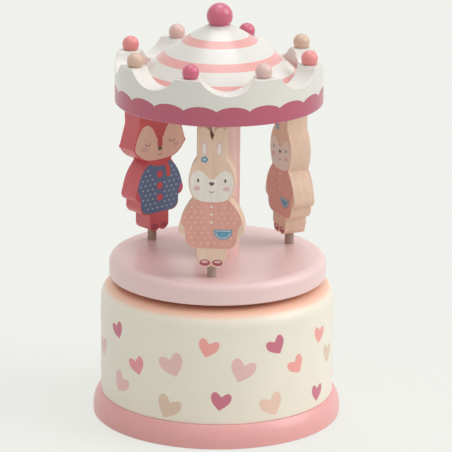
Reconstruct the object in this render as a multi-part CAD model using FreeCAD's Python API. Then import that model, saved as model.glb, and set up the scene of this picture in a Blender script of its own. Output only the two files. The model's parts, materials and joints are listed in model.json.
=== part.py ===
import FreeCAD, Part

import math
import os

V = FreeCAD.Vector
UP = V(0, 0, 1)
ORIGIN = V(0, 0, 0)

# Carousel music box of turned wood, in millimetres and degrees. The front is at -Y and the
# carousel turns about Z. The floor is at zero.

# Clearances
GLUE_CLEARANCE = 0.05       # around a glued dowel, tenon or plug
PRESS_CLEARANCE = 0.02      # around a pressed or staked metal piece
RUNNING_CLEARANCE = 0.04    # radial, around a shaft that turns
SCREW_CLEARANCE = 0.06      # around a screw
THRUST_CLEARANCE = 0.10     # between the hub flange and the washer under it
HEAD_SINK = 0.20            # a screw head or shaft end lies this far under its surface

# Base
PLINTH_LIP = 3.5            # the plinth stands out this far beyond the drum
PLINTH_HEIGHT = 10.75
PLINTH_FOOT = 3.5           # upright part of the side, under its sweep
PLINTH_LEDGE = 0.8          # flat left between the sweep and the drum
SPIGOT_HEIGHT = 4.0         # raised disc that centres the drum on the plinth
DRUM_HEIGHT = 52.75
DRUM_SHOULDER = 8.0
DRUM_WALL = 7.5
DECK_THICKNESS = 8.5
PLINTH_SCREW_COUNT = 4
PLINTH_SCREW_ANGLE = 45.0
PLINTH_SCREW_RADIUS = 1.6
PLINTH_SCREW_BITE = 13.0    # length in the drum's wall

# Turntable and its drive
TURNTABLE_RADIUS = 50.2
TURNTABLE_THICKNESS = 10.0
TURNTABLE_TOP_ROUND = 4.0
TURNTABLE_BOTTOM_ROUND = 1.0
ARBOR_RADIUS = 2.5
BUSH_WALL = 2.0
WASHER_RADIUS = 8.0
WASHER_THICKNESS = 0.8
FLANGE_RADIUS = 12.0
FLANGE_THICKNESS = 1.5
HUB_BOSS_WALL = 3.0
HUB_BOSS_HEIGHT = 4.6
HUB_SCREW_COUNT = 3
HUB_SCREW_ANGLE = 30.0
HUB_SCREW_RADIUS = 1.1
HUB_SCREW_BITE = 6.0

# Column
COLUMN_RADIUS = 10.0
TENON_RADIUS = 6.0
LOWER_TENON = 4.0
UPPER_TENON = 4.5

# Figures on pegs
PEG_INSET = 13.1            # from the turntable's edge in to the circle of pegs
FIGURE_ANGLES = {"rabbit_front": -90.0, "rabbit_side": 30.0, "fox": 150.0}
FOX_TWIST = -14.0           # the fox stands turned on its peg
FIGURE_THICKNESS = 10.6
PEG_RADIUS = 2.1
PEG_SHOW = 6.0              # bare peg between the turntable and the feet
PEG_IN_TURNTABLE = 6.0
PEG_IN_FIGURE = 12.0
HEAD_GAP = 1.2              # ears to canopy
FOOT_NOTCH = 0.9            # height of the notch between the feet

RABBIT_FOOT_HALF = 5.9
RABBIT_LEG_HALF = 6.7
RABBIT_HEM_HEIGHT = 8.7
RABBIT_SKIRT_HALF = 11.8
RABBIT_HAND_HALF = 14.9
RABBIT_HAND_HEIGHT = 18.1
RABBIT_NECK_HALF = 7.75
RABBIT_NECK_HEIGHT = 31.2
RABBIT_HEAD_HALF = 10.5
RABBIT_EAR_BASE = 50.4
RABBIT_EAR_HALF = 6.6
RABBIT_EAR_ROUND = 2.85
RABBIT_NOTCH_HEIGHT = 59.3
RABBIT_HEIGHT = 65.3

FOX_LEG_HALF = 5.7
FOX_HEM_HEIGHT = 8.5
FOX_COAT_HALF = 11.6
FOX_HAND_HALF = 14.6
FOX_HAND_HEIGHT = 18.6
FOX_NECK_HALF = 6.4
FOX_NECK_HEIGHT = 34.0
FOX_CHEEK_HALF = 16.0
FOX_CHEEK_HEIGHT = 40.9
FOX_BROW_HALF = 12.4
FOX_BROW_HEIGHT = 51.6
FOX_CROWN_HALF = 5.2
FOX_CROWN_HEIGHT = 57.2
FOX_HEIGHT = 65.0

# Canopy
CANOPY_RADIUS = 47.65
CANOPY_WALL = 10.0
CANOPY_HEIGHT = 20.75
CANOPY_FLOOR = 6.0
CANOPY_BOTTOM_ROUND = 0.8
PEAK_COUNT = 8
FIRST_PEAK_ANGLE = -103.35
SCOOP_RADIUS = 14.8
SCOOP_DEPTH = 6.7
DOME_RIM_HEIGHT = 6.35
DOME_HEIGHT = 29.9
DOME_BULGE = 1.3            # the cone's side swells by this much at half its length
DOME_TOP_RADIUS = 5.0
FINIAL_RADIUS = 6.0
FINIAL_SEAT = 3.9           # from the ball's centre down to its flat
FINIAL_DOWEL_RADIUS = 1.8
FINIAL_DOWEL_REACH = 6.0    # into the dome, and the same into the ball
BEAD_RADIUS = 3.85
BEAD_SEAT = 2.5
BEAD_PIN_RADIUS = 0.8
BEAD_PIN_REACH = 3.0

# Movement under the deck
BED_THICKNESS = 3.0
BED_MARGIN = 2.2            # bedplate beyond what hangs from it
BED_GAP = 1.2               # bedplate to the drum's wall
BED_SCREW_RADIUS = 1.45
BED_SCREW_INSET = 4.4
PLATE_THICKNESS = 1.2       # bearing plates and governor bracket
BEARING_LAND = 3.2          # plate below and beside an axle
CROSSBAR_DEPTH = 3.0
TAB_WIDTH = 2.0
TAB_EDGE = 0.6              # plate on each side of a tab
WINDOW_ROOM = 1.4           # wheel to the edge of the bedplate's window
AXIAL_GAP = 0.5             # between pieces beside each other on one axle
HEADROOM = 0.5              # wheel tip to deck

CROWN_MODULE = 0.65
CROWN_TEETH = 40
PINION_TEETH = 20
CROWN_FACE = 2.2
CROWN_WEB = 1.8
CROWN_HUB_RADIUS = 5.0
TRAIN_MODULE = 0.5
CYLINDER_WHEEL_TEETH = 36
CYLINDER_WHEEL_WIDTH = 1.2
GOVERNOR_PINION_TEETH = 12
GOVERNOR_PINION_WIDTH = 2.2
WORM_WHEEL_TEETH = 18
WORM_WHEEL_WIDTH = 1.2
WORM_PITCH_RADIUS = 1.5
WORM_TURNS = 4
WORM_THREAD_SHARE = 0.30
WORM_STATION = 27.0         # distance of the worm from the arbor, along the cylinder
GOVERNOR_PLATE_SET = 5.0    # from the worm back to the governor's inner bearing
PRESSURE_ANGLE = 20.0
TOOTH_SHARE = 0.37          # a tooth's part of the pitch, the rest being space
TOOTH_SINK = 0.3            # a raised tooth starts this far inside its wheel

BARREL_HEIGHT = 11.0
BARREL_WALL = 0.8
SPRING_STRIP = 0.35
SPRING_TURNS = 7
SPRING_ROOM = 0.4           # between the mainspring and its barrel
CLUTCH_WIRE = 0.45
CLUTCH_TURNS = 3
CLIP_THICKNESS = 0.6
CLIP_RADIUS = 4.2
CLIP_GROOVE = 0.5
ARBOR_TAIL = 1.0            # arbor below its clip

AXLE_RADIUS = 1.0
CYLINDER_RADIUS = 6.5
COMB_TEETH = 18
COMB_PITCH = 1.05
COMB_SLOT = 0.35
COMB_END = 0.6              # plain steel beyond the end teeth
COMB_THICKNESS = 0.7
COMB_LENGTH = 17.0
COMB_BLOCK_DEPTH = 8.4
COMB_SCREW_RADIUS = 1.2
COMB_SCREW_BITE = 4.0
COMB_SLOT_GROWTH = 2.6      # the lowest note's slot is this much deeper
PIN_RADIUS = 0.2
PIN_HEIGHT = 0.35
PIN_ROOT = 0.4              # length of a pin inside the cylinder
PINS_PER_TRACK = 4
TIP_CLEARANCE = 0.15        # comb tip to passing pin
PIVOT_RADIUS = 0.5
PIVOT_LENGTH = 1.2
FAN_RADIUS = 6.0
FAN_HEIGHT = 6.0
FAN_BLADE = 0.4
FAN_HUB_WALL = 0.8
FAN_FOOT = 1.2              # spindle below the fan
FAN_ROOM = 1.8              # between the fan and the worm wheel, or the bracket
BRACKET_WIDTH = 6.0
BRACKET_FOOT = 4.8          # length of the foot under the bedplate
BRACKET_SCREW_RADIUS = 0.9

# Levels
drum_top = PLINTH_HEIGHT + DRUM_HEIGHT
deck_under = drum_top - DECK_THICKNESS
flange_under = drum_top + WASHER_THICKNESS + THRUST_CLEARANCE
turntable_under = flange_under + FLANGE_THICKNESS
turntable_top = turntable_under + TURNTABLE_THICKNESS
figure_circle = TURNTABLE_RADIUS - PEG_INSET
feet_level = turntable_top + PEG_SHOW
canopy_under = feet_level + max(RABBIT_HEIGHT, FOX_HEIGHT) + HEAD_GAP
canopy_floor_top = canopy_under + CANOPY_FLOOR
peak_level = canopy_under + CANOPY_HEIGHT
dome_radius = CANOPY_RADIUS - CANOPY_WALL - GLUE_CLEARANCE
dome_top = canopy_floor_top + DOME_HEIGHT
peak_circle = CANOPY_RADIUS - CANOPY_WALL / 2

# Gear sizes
crown_radius = CROWN_MODULE * CROWN_TEETH / 2
pinion_radius = CROWN_MODULE * PINION_TEETH / 2
cylinder_wheel_radius = TRAIN_MODULE * CYLINDER_WHEEL_TEETH / 2
governor_pinion_radius = TRAIN_MODULE * GOVERNOR_PINION_TEETH / 2
worm_wheel_radius = TRAIN_MODULE * WORM_WHEEL_TEETH / 2
wheel_tip = cylinder_wheel_radius + TRAIN_MODULE
worm_lead = math.pi * TRAIN_MODULE
worm_tip = WORM_PITCH_RADIUS + 0.9 * TRAIN_MODULE
worm_core = WORM_PITCH_RADIUS - 1.2 * TRAIN_MODULE

# Places in the movement: the cylinder lies along +X from the arbor
bed_under = deck_under - BED_THICKNESS
axle_level = deck_under - HEADROOM - wheel_tip
crown_pitch_level = axle_level - pinion_radius
crown_root_level = crown_pitch_level - 1.25 * CROWN_MODULE
crown_under = crown_root_level - CROWN_WEB
barrel_radius = crown_radius - CROWN_FACE / 2 - AXIAL_GAP
barrel_under = bed_under - BARREL_HEIGHT
crown_hub_top = barrel_under - AXIAL_GAP
clip_top = crown_under - AXIAL_GAP
arbor_end = clip_top - CLIP_THICKNESS - ARBOR_TAIL
pinion_start = crown_radius - CROWN_FACE / 2
inner_plate_start = pinion_start + CROWN_FACE + AXIAL_GAP
cylinder_start = inner_plate_start + PLATE_THICKNESS + AXIAL_GAP
cylinder_end = cylinder_start + COMB_TEETH * COMB_PITCH
wheel_start = cylinder_end + 2 * AXIAL_GAP
outer_plate_start = wheel_start + GOVERNOR_PINION_WIDTH + AXIAL_GAP
axle_end = outer_plate_start + PLATE_THICKNESS + AXIAL_GAP
governor_y = -(cylinder_wheel_radius + governor_pinion_radius)
worm_y = governor_y - worm_wheel_radius - WORM_PITCH_RADIUS
governor_plate_start = WORM_STATION - GOVERNOR_PLATE_SET
worm_end = axle_level - worm_wheel_radius - TRAIN_MODULE - FAN_ROOM - FAN_HEIGHT - FAN_FOOT
bracket_back = worm_y - FAN_RADIUS - FAN_ROOM
comb_tip_y = CYLINDER_RADIUS + PIN_HEIGHT + TIP_CLEARANCE
comb_back_y = comb_tip_y + COMB_LENGTH
window_half = math.sqrt(wheel_tip ** 2 - (axle_level - bed_under) ** 2) + WINDOW_ROOM
crossbar_half = window_half + TAB_WIDTH + 2 * TAB_EDGE
tab_y = window_half + TAB_EDGE + TAB_WIDTH / 2
bed_back = -(barrel_radius + BED_SCREW_INSET)
bed_front = axle_end + BED_MARGIN
bed_comb_side = comb_back_y + BED_MARGIN
bed_governor_side = bracket_back - PLATE_THICKNESS - BED_MARGIN
back_screw_y = barrel_radius + BED_SCREW_INSET
bed_screw_places = [
    (bed_back + BED_SCREW_INSET, back_screw_y),
    (bed_back + BED_SCREW_INSET, -back_screw_y),
    (outer_plate_start - BED_SCREW_INSET, worm_y - BED_SCREW_INSET),
    (outer_plate_start, crossbar_half + BED_SCREW_INSET),
]

# The drum is wide enough for the movement
comb_corner = math.hypot(cylinder_end + COMB_END, comb_back_y)
plate_corner = math.hypot(outer_plate_start + PLATE_THICKNESS, governor_y - BEARING_LAND)
bed_reach = max(comb_corner, plate_corner) + BED_MARGIN
cavity_radius = bed_reach + BED_GAP
drum_radius = cavity_radius + DRUM_WALL
plinth_radius = drum_radius + PLINTH_LIP


def wire_xz(start, steps):
    """Closed wire in the XZ plane. A step is a point, or a (via, end) pair for an arc."""
    edges = []
    here = V(start[0], 0, start[1])
    for step in list(steps) + [start]:
        if isinstance(step[0], tuple):
            via = V(step[0][0], 0, step[0][1])
            there = V(step[1][0], 0, step[1][1])
            edges.append(Part.Arc(here, via, there).toShape())
        else:
            there = V(step[0], 0, step[1])
            if here.distanceToPoint(there) < 1e-7:
                continue
            edges.append(Part.makeLine(here, there))
        here = there
    return Part.Wire(edges)


def rounded(x, z, radius, first, last):
    """(via, end) of a round about (x, z), from the first angle to the last."""
    middle = math.radians((first + last) / 2)
    end = math.radians(last)
    via = (x + radius * math.cos(middle), z + radius * math.sin(middle))
    return via, (x + radius * math.cos(end), z + radius * math.sin(end))


def lathe(start, steps):
    """Solid turned about Z from an outline of (radius, height) points."""
    return Part.Face(wire_xz(start, steps)).revolve(ORIGIN, UP, 360)


def rod(radius, low, high, x=0.0, y=0.0):
    return Part.makeCylinder(radius, high - low, V(x, y, low))


def axle(radius, start, end, y, z):
    return Part.makeCylinder(radius, end - start, V(start, y, z), V(1, 0, 0))


def box(x0, x1, y0, y1, z0, z1):
    return Part.makeBox(x1 - x0, y1 - y0, z1 - z0, V(x0, y0, z0))


def spun(shape, degrees):
    turned = shape.copy()
    turned.rotate(ORIGIN, UP, degrees)
    return turned


def moved(shape, x, y, z):
    shifted = shape.copy()
    shifted.translate(V(x, y, z))
    return shifted


def single(shape):
    """The one solid of a joined or cut shape."""
    return shape.Solids[0]


def sunk_screw(radius, length, clearance=0.0):
    """Countersunk screw pointing down, its head's top at zero. With a clearance, its hole."""
    head = 2 * radius
    shank = radius + clearance
    top = HEAD_SINK if clearance else 0.0
    steps = [(0, -length - clearance), (shank, -length - clearance), (shank, -radius)]
    steps += [(head + clearance, -clearance), (head + clearance, top)]
    screw = lathe((0, top), steps)
    if clearance:
        return screw
    slot = box(-head, head, -radius / 4, radius / 4, -radius / 2, 1)
    return screw.cut(slot)


def cheese_screw(radius, length, clearance=0.0):
    """Flat-headed screw pointing up from under a plate, its head below zero. With a clearance, its hole."""
    shank = rod(radius + clearance, -clearance, length + clearance)
    if clearance:
        return shank
    head = rod(1.8 * radius, -radius, 0)
    slot = box(-2 * radius, 2 * radius, -radius / 5, radius / 5, -2 * radius, -radius / 2)
    return single(head.cut(slot).fuse(shank))


def around(count, first=0.0):
    return [first + 360.0 * n / count for n in range(count)]


def on_circle(radius, degrees):
    angle = math.radians(degrees)
    return radius * math.cos(angle), radius * math.sin(angle)


def involute(angle):
    return math.tan(angle) - angle


def spur_gear(teeth, module, width, bore):
    """Spur gear along Z from zero, with one tooth centred on +X."""
    pitch = module * teeth / 2
    base = pitch * math.cos(math.radians(PRESSURE_ANGLE))
    root = pitch - 1.25 * module
    tip = pitch + module
    half = math.pi * TOOTH_SHARE / teeth + involute(math.radians(PRESSURE_ANGLE))
    low = max(base, root)
    flank = [(root, half - involute(math.acos(min(1.0, base / low))))]
    for n in range(4):
        radius = low + (tip - low) * n / 3
        flank.append((radius, half - involute(math.acos(min(1.0, base / radius)))))
    if root >= base:
        flank = flank[1:]
    points = []
    for n in range(teeth):
        centre = 2 * math.pi * n / teeth
        side = [(r, centre - a) for r, a in flank] + [(r, centre + a) for r, a in reversed(flank)]
        points += [V(r * math.cos(a), r * math.sin(a), 0) for r, a in side]
    disc = Part.Face(Part.makePolygon(points + points[:1])).extrude(V(0, 0, width))
    return disc.cut(rod(bore, -1, width + 1))


def along_x(shape, start, y, z, turn=0.0):
    """A piece made along Z laid along X, first turned about its own axis."""
    laid = spun(shape, turn)
    laid.rotate(ORIGIN, V(0, 1, 0), 90)
    return moved(laid, start, y, z)


def mirrored_outline(start, steps):
    """Closed wire from the outline of a figure's right half, from its foot to its crown."""
    left = []
    points = [start] + [s[1] if isinstance(s[0], tuple) else s for s in steps]
    for step, before in reversed(list(zip(steps, points))):
        end = (-before[0], before[1])
        if isinstance(step[0], tuple):
            left.append(((-step[0][0], step[0][1]), end))
        else:
            left.append(end)
    return wire_xz(start, list(steps) + left)


def rabbit_steps():
    leg = RABBIT_LEG_HALF
    hem = RABBIT_HEM_HEIGHT
    skirt = RABBIT_SKIRT_HALF
    hand = RABBIT_HAND_HALF
    palm = RABBIT_HAND_HEIGHT
    neck = (RABBIT_NECK_HALF, RABBIT_NECK_HEIGHT)
    ear_base = (RABBIT_EAR_HALF, RABBIT_EAR_BASE)
    head_middle = (RABBIT_NECK_HEIGHT + RABBIT_EAR_BASE) / 2
    tip = (RABBIT_EAR_HALF - RABBIT_EAR_ROUND, RABBIT_HEIGHT - RABBIT_EAR_ROUND)
    rise = tip[1] - RABBIT_NOTCH_HEIGHT
    reach = math.hypot(tip[0], rise)
    lean = math.atan2(rise, tip[0]) + math.asin(RABBIT_EAR_ROUND / reach)
    length = math.sqrt(reach ** 2 - RABBIT_EAR_ROUND ** 2)
    inner_ear = (length * math.cos(lean), RABBIT_NOTCH_HEIGHT + length * math.sin(lean))
    return [
        ((0.6 * RABBIT_FOOT_HALF, 0.0), (RABBIT_FOOT_HALF, 2.6)),
        (RABBIT_FOOT_HALF, 3.6),
        (leg, 4.4),
        (leg, hem),
        (leg + 1.2, hem),
        ((skirt - 1.1, hem + 1.7), (skirt, hem + 5.2)),
        (skirt, palm - 3.2),
        ((hand - 0.9, palm - 2.4), (hand, palm)),
        ((hand - 2.6, palm + 7.6), neck),
        ((RABBIT_HEAD_HALF, head_middle), ear_base),
        (RABBIT_EAR_HALF, tip[1]),
        ((tip[0], RABBIT_HEIGHT), inner_ear),
        (0.0, RABBIT_NOTCH_HEIGHT),
    ]


def fox_steps():
    leg = FOX_LEG_HALF
    hem = FOX_HEM_HEIGHT
    coat = FOX_COAT_HALF
    hand = FOX_HAND_HALF
    palm = FOX_HAND_HEIGHT
    cheek = FOX_CHEEK_HALF
    level = FOX_CHEEK_HEIGHT
    return [
        ((0.6 * leg, 0.0), (leg, 2.6)),
        (leg, hem),
        (leg + 1.6, hem),
        ((coat - 0.9, hem + 1.4), (coat, hem + 5.0)),
        (coat, palm - 3.4),
        ((hand - 0.9, palm - 2.4), (hand, palm)),
        ((hand - 3.0, palm + 8.0), (FOX_NECK_HALF, FOX_NECK_HEIGHT)),
        ((0.75 * cheek, level - 4.6), (cheek - 0.7, level - 1.0)),
        ((cheek, level), (cheek - 0.5, level + 1.2)),
        (FOX_BROW_HALF, FOX_BROW_HEIGHT),
        (FOX_BROW_HALF + 0.6, FOX_HEIGHT - 1.2),
        ((FOX_BROW_HALF + 0.2, FOX_HEIGHT), (FOX_BROW_HALF - 0.9, FOX_HEIGHT - 0.5)),
        (FOX_CROWN_HALF, FOX_CROWN_HEIGHT),
        (0.0, FOX_CROWN_HEIGHT),
    ]


def figure(steps, angle, twist=0.0):
    """Flat figure cut from thick board, drilled for its peg, standing across the radius."""
    board = Part.Face(mirrored_outline((0.0, FOOT_NOTCH), steps)).extrude(V(0, FIGURE_THICKNESS, 0))
    board = moved(board, 0, -FIGURE_THICKNESS / 2, 0)
    board = board.cut(rod(PEG_RADIUS + GLUE_CLEARANCE, -1, PEG_IN_FIGURE + GLUE_CLEARANCE))
    x, y = on_circle(figure_circle, angle)
    return moved(spun(board, angle + 90 + twist), x, y, feet_level)


def base_plinth():
    """Disc whose side sweeps in from the foot to the ledge, with a spigot that centres the drum."""
    inset = PLINTH_LIP - PLINTH_LEDGE
    rise = PLINTH_HEIGHT - PLINTH_FOOT
    sweep_radius = (inset ** 2 + rise ** 2) / (2 * inset)
    lean = math.degrees(math.atan2(rise, sweep_radius - inset))
    sweep = rounded(plinth_radius - sweep_radius, PLINTH_FOOT, sweep_radius, 0, lean)
    spigot = cavity_radius - GLUE_CLEARANCE
    top = PLINTH_HEIGHT + SPIGOT_HEIGHT
    steps = [(plinth_radius, 0), (plinth_radius, PLINTH_FOOT), sweep]
    steps += [(spigot, PLINTH_HEIGHT), (spigot, top), (0, top)]
    return lathe((0, 0), steps).cut(Part.makeCompound(plinth_screw_set(SCREW_CLEARANCE)))


def plinth_screw_set(clearance=0.0):
    """Wood screws from under the plinth into the drum's wall."""
    screw = sunk_screw(PLINTH_SCREW_RADIUS, PLINTH_HEIGHT + PLINTH_SCREW_BITE, clearance)
    screw.rotate(ORIGIN, V(1, 0, 0), 180)
    screw = moved(screw, drum_radius - DRUM_WALL / 2, 0, HEAD_SINK)
    return [spun(screw, a) for a in around(PLINTH_SCREW_COUNT, PLINTH_SCREW_ANGLE)]


def bed_screw_set(clearance=0.0):
    """Machine screws from the deck's top into the bedplate."""
    length = DECK_THICKNESS + BED_THICKNESS - 2 * HEAD_SINK
    screw = sunk_screw(BED_SCREW_RADIUS, length, clearance)
    return [moved(screw, x, y, drum_top - HEAD_SINK) for x, y in bed_screw_places]


def drum_shell():
    """Hollow drum, open below, whose top is the deck that carries the movement."""
    shoulder = rounded(drum_radius - DRUM_SHOULDER, drum_top - DRUM_SHOULDER, DRUM_SHOULDER, 0, 90)
    steps = [(drum_radius, PLINTH_HEIGHT), (drum_radius, drum_top - DRUM_SHOULDER), shoulder]
    bore = ARBOR_RADIUS + RUNNING_CLEARANCE + BUSH_WALL + PRESS_CLEARANCE
    steps += [(bore, drum_top), (bore, deck_under), (cavity_radius, deck_under)]
    shell = lathe((cavity_radius, PLINTH_HEIGHT), steps)
    holes = plinth_screw_set(SCREW_CLEARANCE) + bed_screw_set(SCREW_CLEARANCE)
    return shell.cut(Part.makeCompound(holes))


def ring(inner, outer, low, high):
    return rod(outer, low, high).cut(rod(inner, low - 1, high + 1))


def deck_bush():
    bore = ARBOR_RADIUS + RUNNING_CLEARANCE
    return ring(bore, bore + BUSH_WALL, deck_under, drum_top)


def thrust_washer():
    return ring(ARBOR_RADIUS + RUNNING_CLEARANCE, WASHER_RADIUS, drum_top, drum_top + WASHER_THICKNESS)


def hub_screw_set(clearance=0.0):
    """Wood screws through the hub's flange, up into the turntable."""
    screw = sunk_screw(HUB_SCREW_RADIUS, FLANGE_THICKNESS + HUB_SCREW_BITE, clearance)
    screw.rotate(ORIGIN, V(1, 0, 0), 180)
    boss = ARBOR_RADIUS + HUB_BOSS_WALL
    screw = moved(screw, (boss + FLANGE_RADIUS) / 2, 0, flange_under + HEAD_SINK)
    return [spun(screw, a) for a in around(HUB_SCREW_COUNT, HUB_SCREW_ANGLE)]


def turntable_hub():
    bore = ARBOR_RADIUS + PRESS_CLEARANCE
    boss = ARBOR_RADIUS + HUB_BOSS_WALL
    top = turntable_under + HUB_BOSS_HEIGHT
    steps = [(FLANGE_RADIUS, flange_under), (FLANGE_RADIUS, turntable_under), (boss, turntable_under)]
    steps += [(boss, top), (bore, top)]
    return lathe((bore, flange_under), steps).cut(Part.makeCompound(hub_screw_set(SCREW_CLEARANCE)))


def turntable():
    top = turntable_top
    low = rounded(TURNTABLE_RADIUS - TURNTABLE_BOTTOM_ROUND, turntable_under + TURNTABLE_BOTTOM_ROUND,
                  TURNTABLE_BOTTOM_ROUND, -90, 0)
    high = rounded(TURNTABLE_RADIUS - TURNTABLE_TOP_ROUND, top - TURNTABLE_TOP_ROUND,
                   TURNTABLE_TOP_ROUND, 0, 90)
    boss = ARBOR_RADIUS + HUB_BOSS_WALL + GLUE_CLEARANCE
    boss_top = turntable_under + HUB_BOSS_HEIGHT + GLUE_CLEARANCE
    socket = TENON_RADIUS + GLUE_CLEARANCE
    socket_floor = top - LOWER_TENON - GLUE_CLEARANCE
    steps = [(boss, boss_top), (boss, turntable_under)]
    steps += [(TURNTABLE_RADIUS - TURNTABLE_BOTTOM_ROUND, turntable_under), low]
    steps += [(TURNTABLE_RADIUS, top - TURNTABLE_TOP_ROUND), high]
    steps += [(socket, top), (socket, socket_floor), (0, socket_floor)]
    disc = lathe((0, boss_top), steps)
    peg_hole = rod(PEG_RADIUS + GLUE_CLEARANCE, top - PEG_IN_TURNTABLE - GLUE_CLEARANCE, top + 1)
    holes = [moved(peg_hole, *on_circle(figure_circle, a), 0) for a in FIGURE_ANGLES.values()]
    return disc.cut(Part.makeCompound(holes + hub_screw_set(SCREW_CLEARANCE)))


def column():
    foot = turntable_top - LOWER_TENON
    head = canopy_under + UPPER_TENON
    steps = [(TENON_RADIUS, foot), (TENON_RADIUS, turntable_top), (COLUMN_RADIUS, turntable_top)]
    steps += [(COLUMN_RADIUS, canopy_under), (TENON_RADIUS, canopy_under), (TENON_RADIUS, head), (0, head)]
    return lathe((0, foot), steps)


def peg(angle):
    x, y = on_circle(figure_circle, angle)
    return rod(PEG_RADIUS, turntable_top - PEG_IN_TURNTABLE, feet_level + PEG_IN_FIGURE, x, y)


def bead_pin_set(clearance=0.0):
    reach = BEAD_PIN_REACH + clearance
    pin = rod(BEAD_PIN_RADIUS + clearance, peak_level - reach, peak_level + reach, peak_circle)
    return [spun(pin, a) for a in around(PEAK_COUNT, FIRST_PEAK_ANGLE)]


def canopy_ring():
    """Dished ring whose top edge has round scoops between flat peaks."""
    inner = CANOPY_RADIUS - CANOPY_WALL
    socket = TENON_RADIUS + GLUE_CLEARANCE
    edge = rounded(CANOPY_RADIUS - CANOPY_BOTTOM_ROUND, canopy_under + CANOPY_BOTTOM_ROUND,
                   CANOPY_BOTTOM_ROUND, -90, 0)
    ceiling = canopy_under + UPPER_TENON + GLUE_CLEARANCE
    steps = [(socket, ceiling), (socket, canopy_under), (CANOPY_RADIUS - CANOPY_BOTTOM_ROUND, canopy_under)]
    steps += [edge, (CANOPY_RADIUS, peak_level), (inner, peak_level)]
    steps += [(inner, canopy_floor_top), (0, canopy_floor_top)]
    dish = lathe((0, ceiling), steps)
    centre = peak_level - SCOOP_DEPTH + SCOOP_RADIUS
    scoop = axle(SCOOP_RADIUS, inner / 2, 2 * CANOPY_RADIUS, 0, centre)
    half_step = 180.0 / PEAK_COUNT
    scoops = [spun(scoop, a + half_step) for a in around(PEAK_COUNT, FIRST_PEAK_ANGLE)]
    return dish.cut(Part.makeCompound(scoops + bead_pin_set(GLUE_CLEARANCE)))


def canopy_dome():
    rim = canopy_floor_top + DOME_RIM_HEIGHT
    run = dome_radius - DOME_TOP_RADIUS
    rise = dome_top - rim
    slope = math.hypot(run, rise)
    via = (dome_radius - run / 2 + DOME_BULGE * rise / slope, rim + rise / 2 + DOME_BULGE * run / slope)
    hole = FINIAL_DOWEL_RADIUS + GLUE_CLEARANCE
    hole_floor = dome_top - FINIAL_DOWEL_REACH - GLUE_CLEARANCE
    steps = [(dome_radius, canopy_floor_top), (dome_radius, rim), (via, (DOME_TOP_RADIUS, dome_top))]
    steps += [(hole, dome_top), (hole, hole_floor), (0, hole_floor)]
    return lathe((0, canopy_floor_top), steps)


def seated_ball(radius, seat, hole, reach):
    """Ball with a flat underneath and a dowel hole, its flat at zero."""
    flat = math.sqrt(radius ** 2 - seat ** 2)
    start = math.degrees(math.atan2(-seat, flat))
    steps = [(hole, 0), (flat, 0), rounded(0, seat, radius, start, 90)]
    return lathe((0, reach), [(hole, reach)] + steps)


def finial_ball():
    hole = FINIAL_DOWEL_RADIUS + GLUE_CLEARANCE
    ball = seated_ball(FINIAL_RADIUS, FINIAL_SEAT, hole, FINIAL_DOWEL_REACH + GLUE_CLEARANCE)
    return moved(ball, 0, 0, dome_top)


def bead(angle):
    hole = BEAD_PIN_RADIUS + GLUE_CLEARANCE
    ball = seated_ball(BEAD_RADIUS, BEAD_SEAT, hole, BEAD_PIN_REACH + GLUE_CLEARANCE)
    return moved(ball, *on_circle(peak_circle, angle), peak_level)


def comb_screw_places():
    y = comb_back_y - COMB_BLOCK_DEPTH / 2
    inset = 0.22 * (cylinder_end - cylinder_start)
    return [(cylinder_start + inset, y), (cylinder_end - inset, y)]


def comb_screw_set(clearance=0.0):
    length = COMB_THICKNESS + COMB_SCREW_BITE
    screw = cheese_screw(COMB_SCREW_RADIUS, length, clearance)
    return [moved(screw, x, y, axle_level - COMB_THICKNESS / 2) for x, y in comb_screw_places()]


def bracket_screw(clearance=0.0):
    screw = cheese_screw(BRACKET_SCREW_RADIUS, PLATE_THICKNESS + 0.7 * BED_THICKNESS, clearance)
    return moved(screw, WORM_STATION, bracket_back + BRACKET_FOOT / 2, bed_under - PLATE_THICKNESS)


def plate_tab(start, y, clearance=0.0):
    """Tab of a bearing plate, staked into the bedplate."""
    half = TAB_WIDTH / 2 + clearance
    return box(start - clearance, start + PLATE_THICKNESS + clearance, y - half, y + half,
               bed_under, deck_under)


def plate_tabs(clearance=0.0):
    inner = [plate_tab(inner_plate_start, y, clearance) for y in (tab_y, -tab_y)]
    outer = [plate_tab(outer_plate_start, y, clearance) for y in (tab_y, -tab_y)]
    return inner, outer, [plate_tab(governor_plate_start, governor_y, clearance)]


def movement_bedplate():
    """Cast plate screwed under the deck, with a window for the cylinder and its wheel."""
    plate = box(bed_back, bed_front, bed_governor_side, bed_comb_side, bed_under, deck_under)
    plate = plate.common(rod(bed_reach, bed_under, deck_under))
    window = box(pinion_start - AXIAL_GAP, outer_plate_start - AXIAL_GAP, -window_half, window_half,
                 bed_under - 1, deck_under + 1)
    pivot = rod(PIVOT_RADIUS + RUNNING_CLEARANCE, bed_under - 1, bed_under + PIVOT_LENGTH + AXIAL_GAP,
                WORM_STATION, worm_y)
    cuts = [window, pivot, rod(ARBOR_RADIUS + RUNNING_CLEARANCE, bed_under - 1, deck_under + 1)]
    cuts += bed_screw_set(SCREW_CLEARANCE) + [bracket_screw(SCREW_CLEARANCE)]
    for tabs in plate_tabs(PRESS_CLEARANCE):
        cuts += tabs
    return plate.cut(Part.makeCompound(cuts))


def spring_barrel():
    """Cup fixed under the bedplate around the mainspring."""
    inner = barrel_radius - BARREL_WALL
    bore = ARBOR_RADIUS + RUNNING_CLEARANCE
    steps = [(bore, bed_under), (bore, bed_under - BARREL_WALL), (inner, bed_under - BARREL_WALL)]
    steps += [(inner, barrel_under), (barrel_radius, barrel_under)]
    return lathe((barrel_radius, bed_under), steps)


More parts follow.
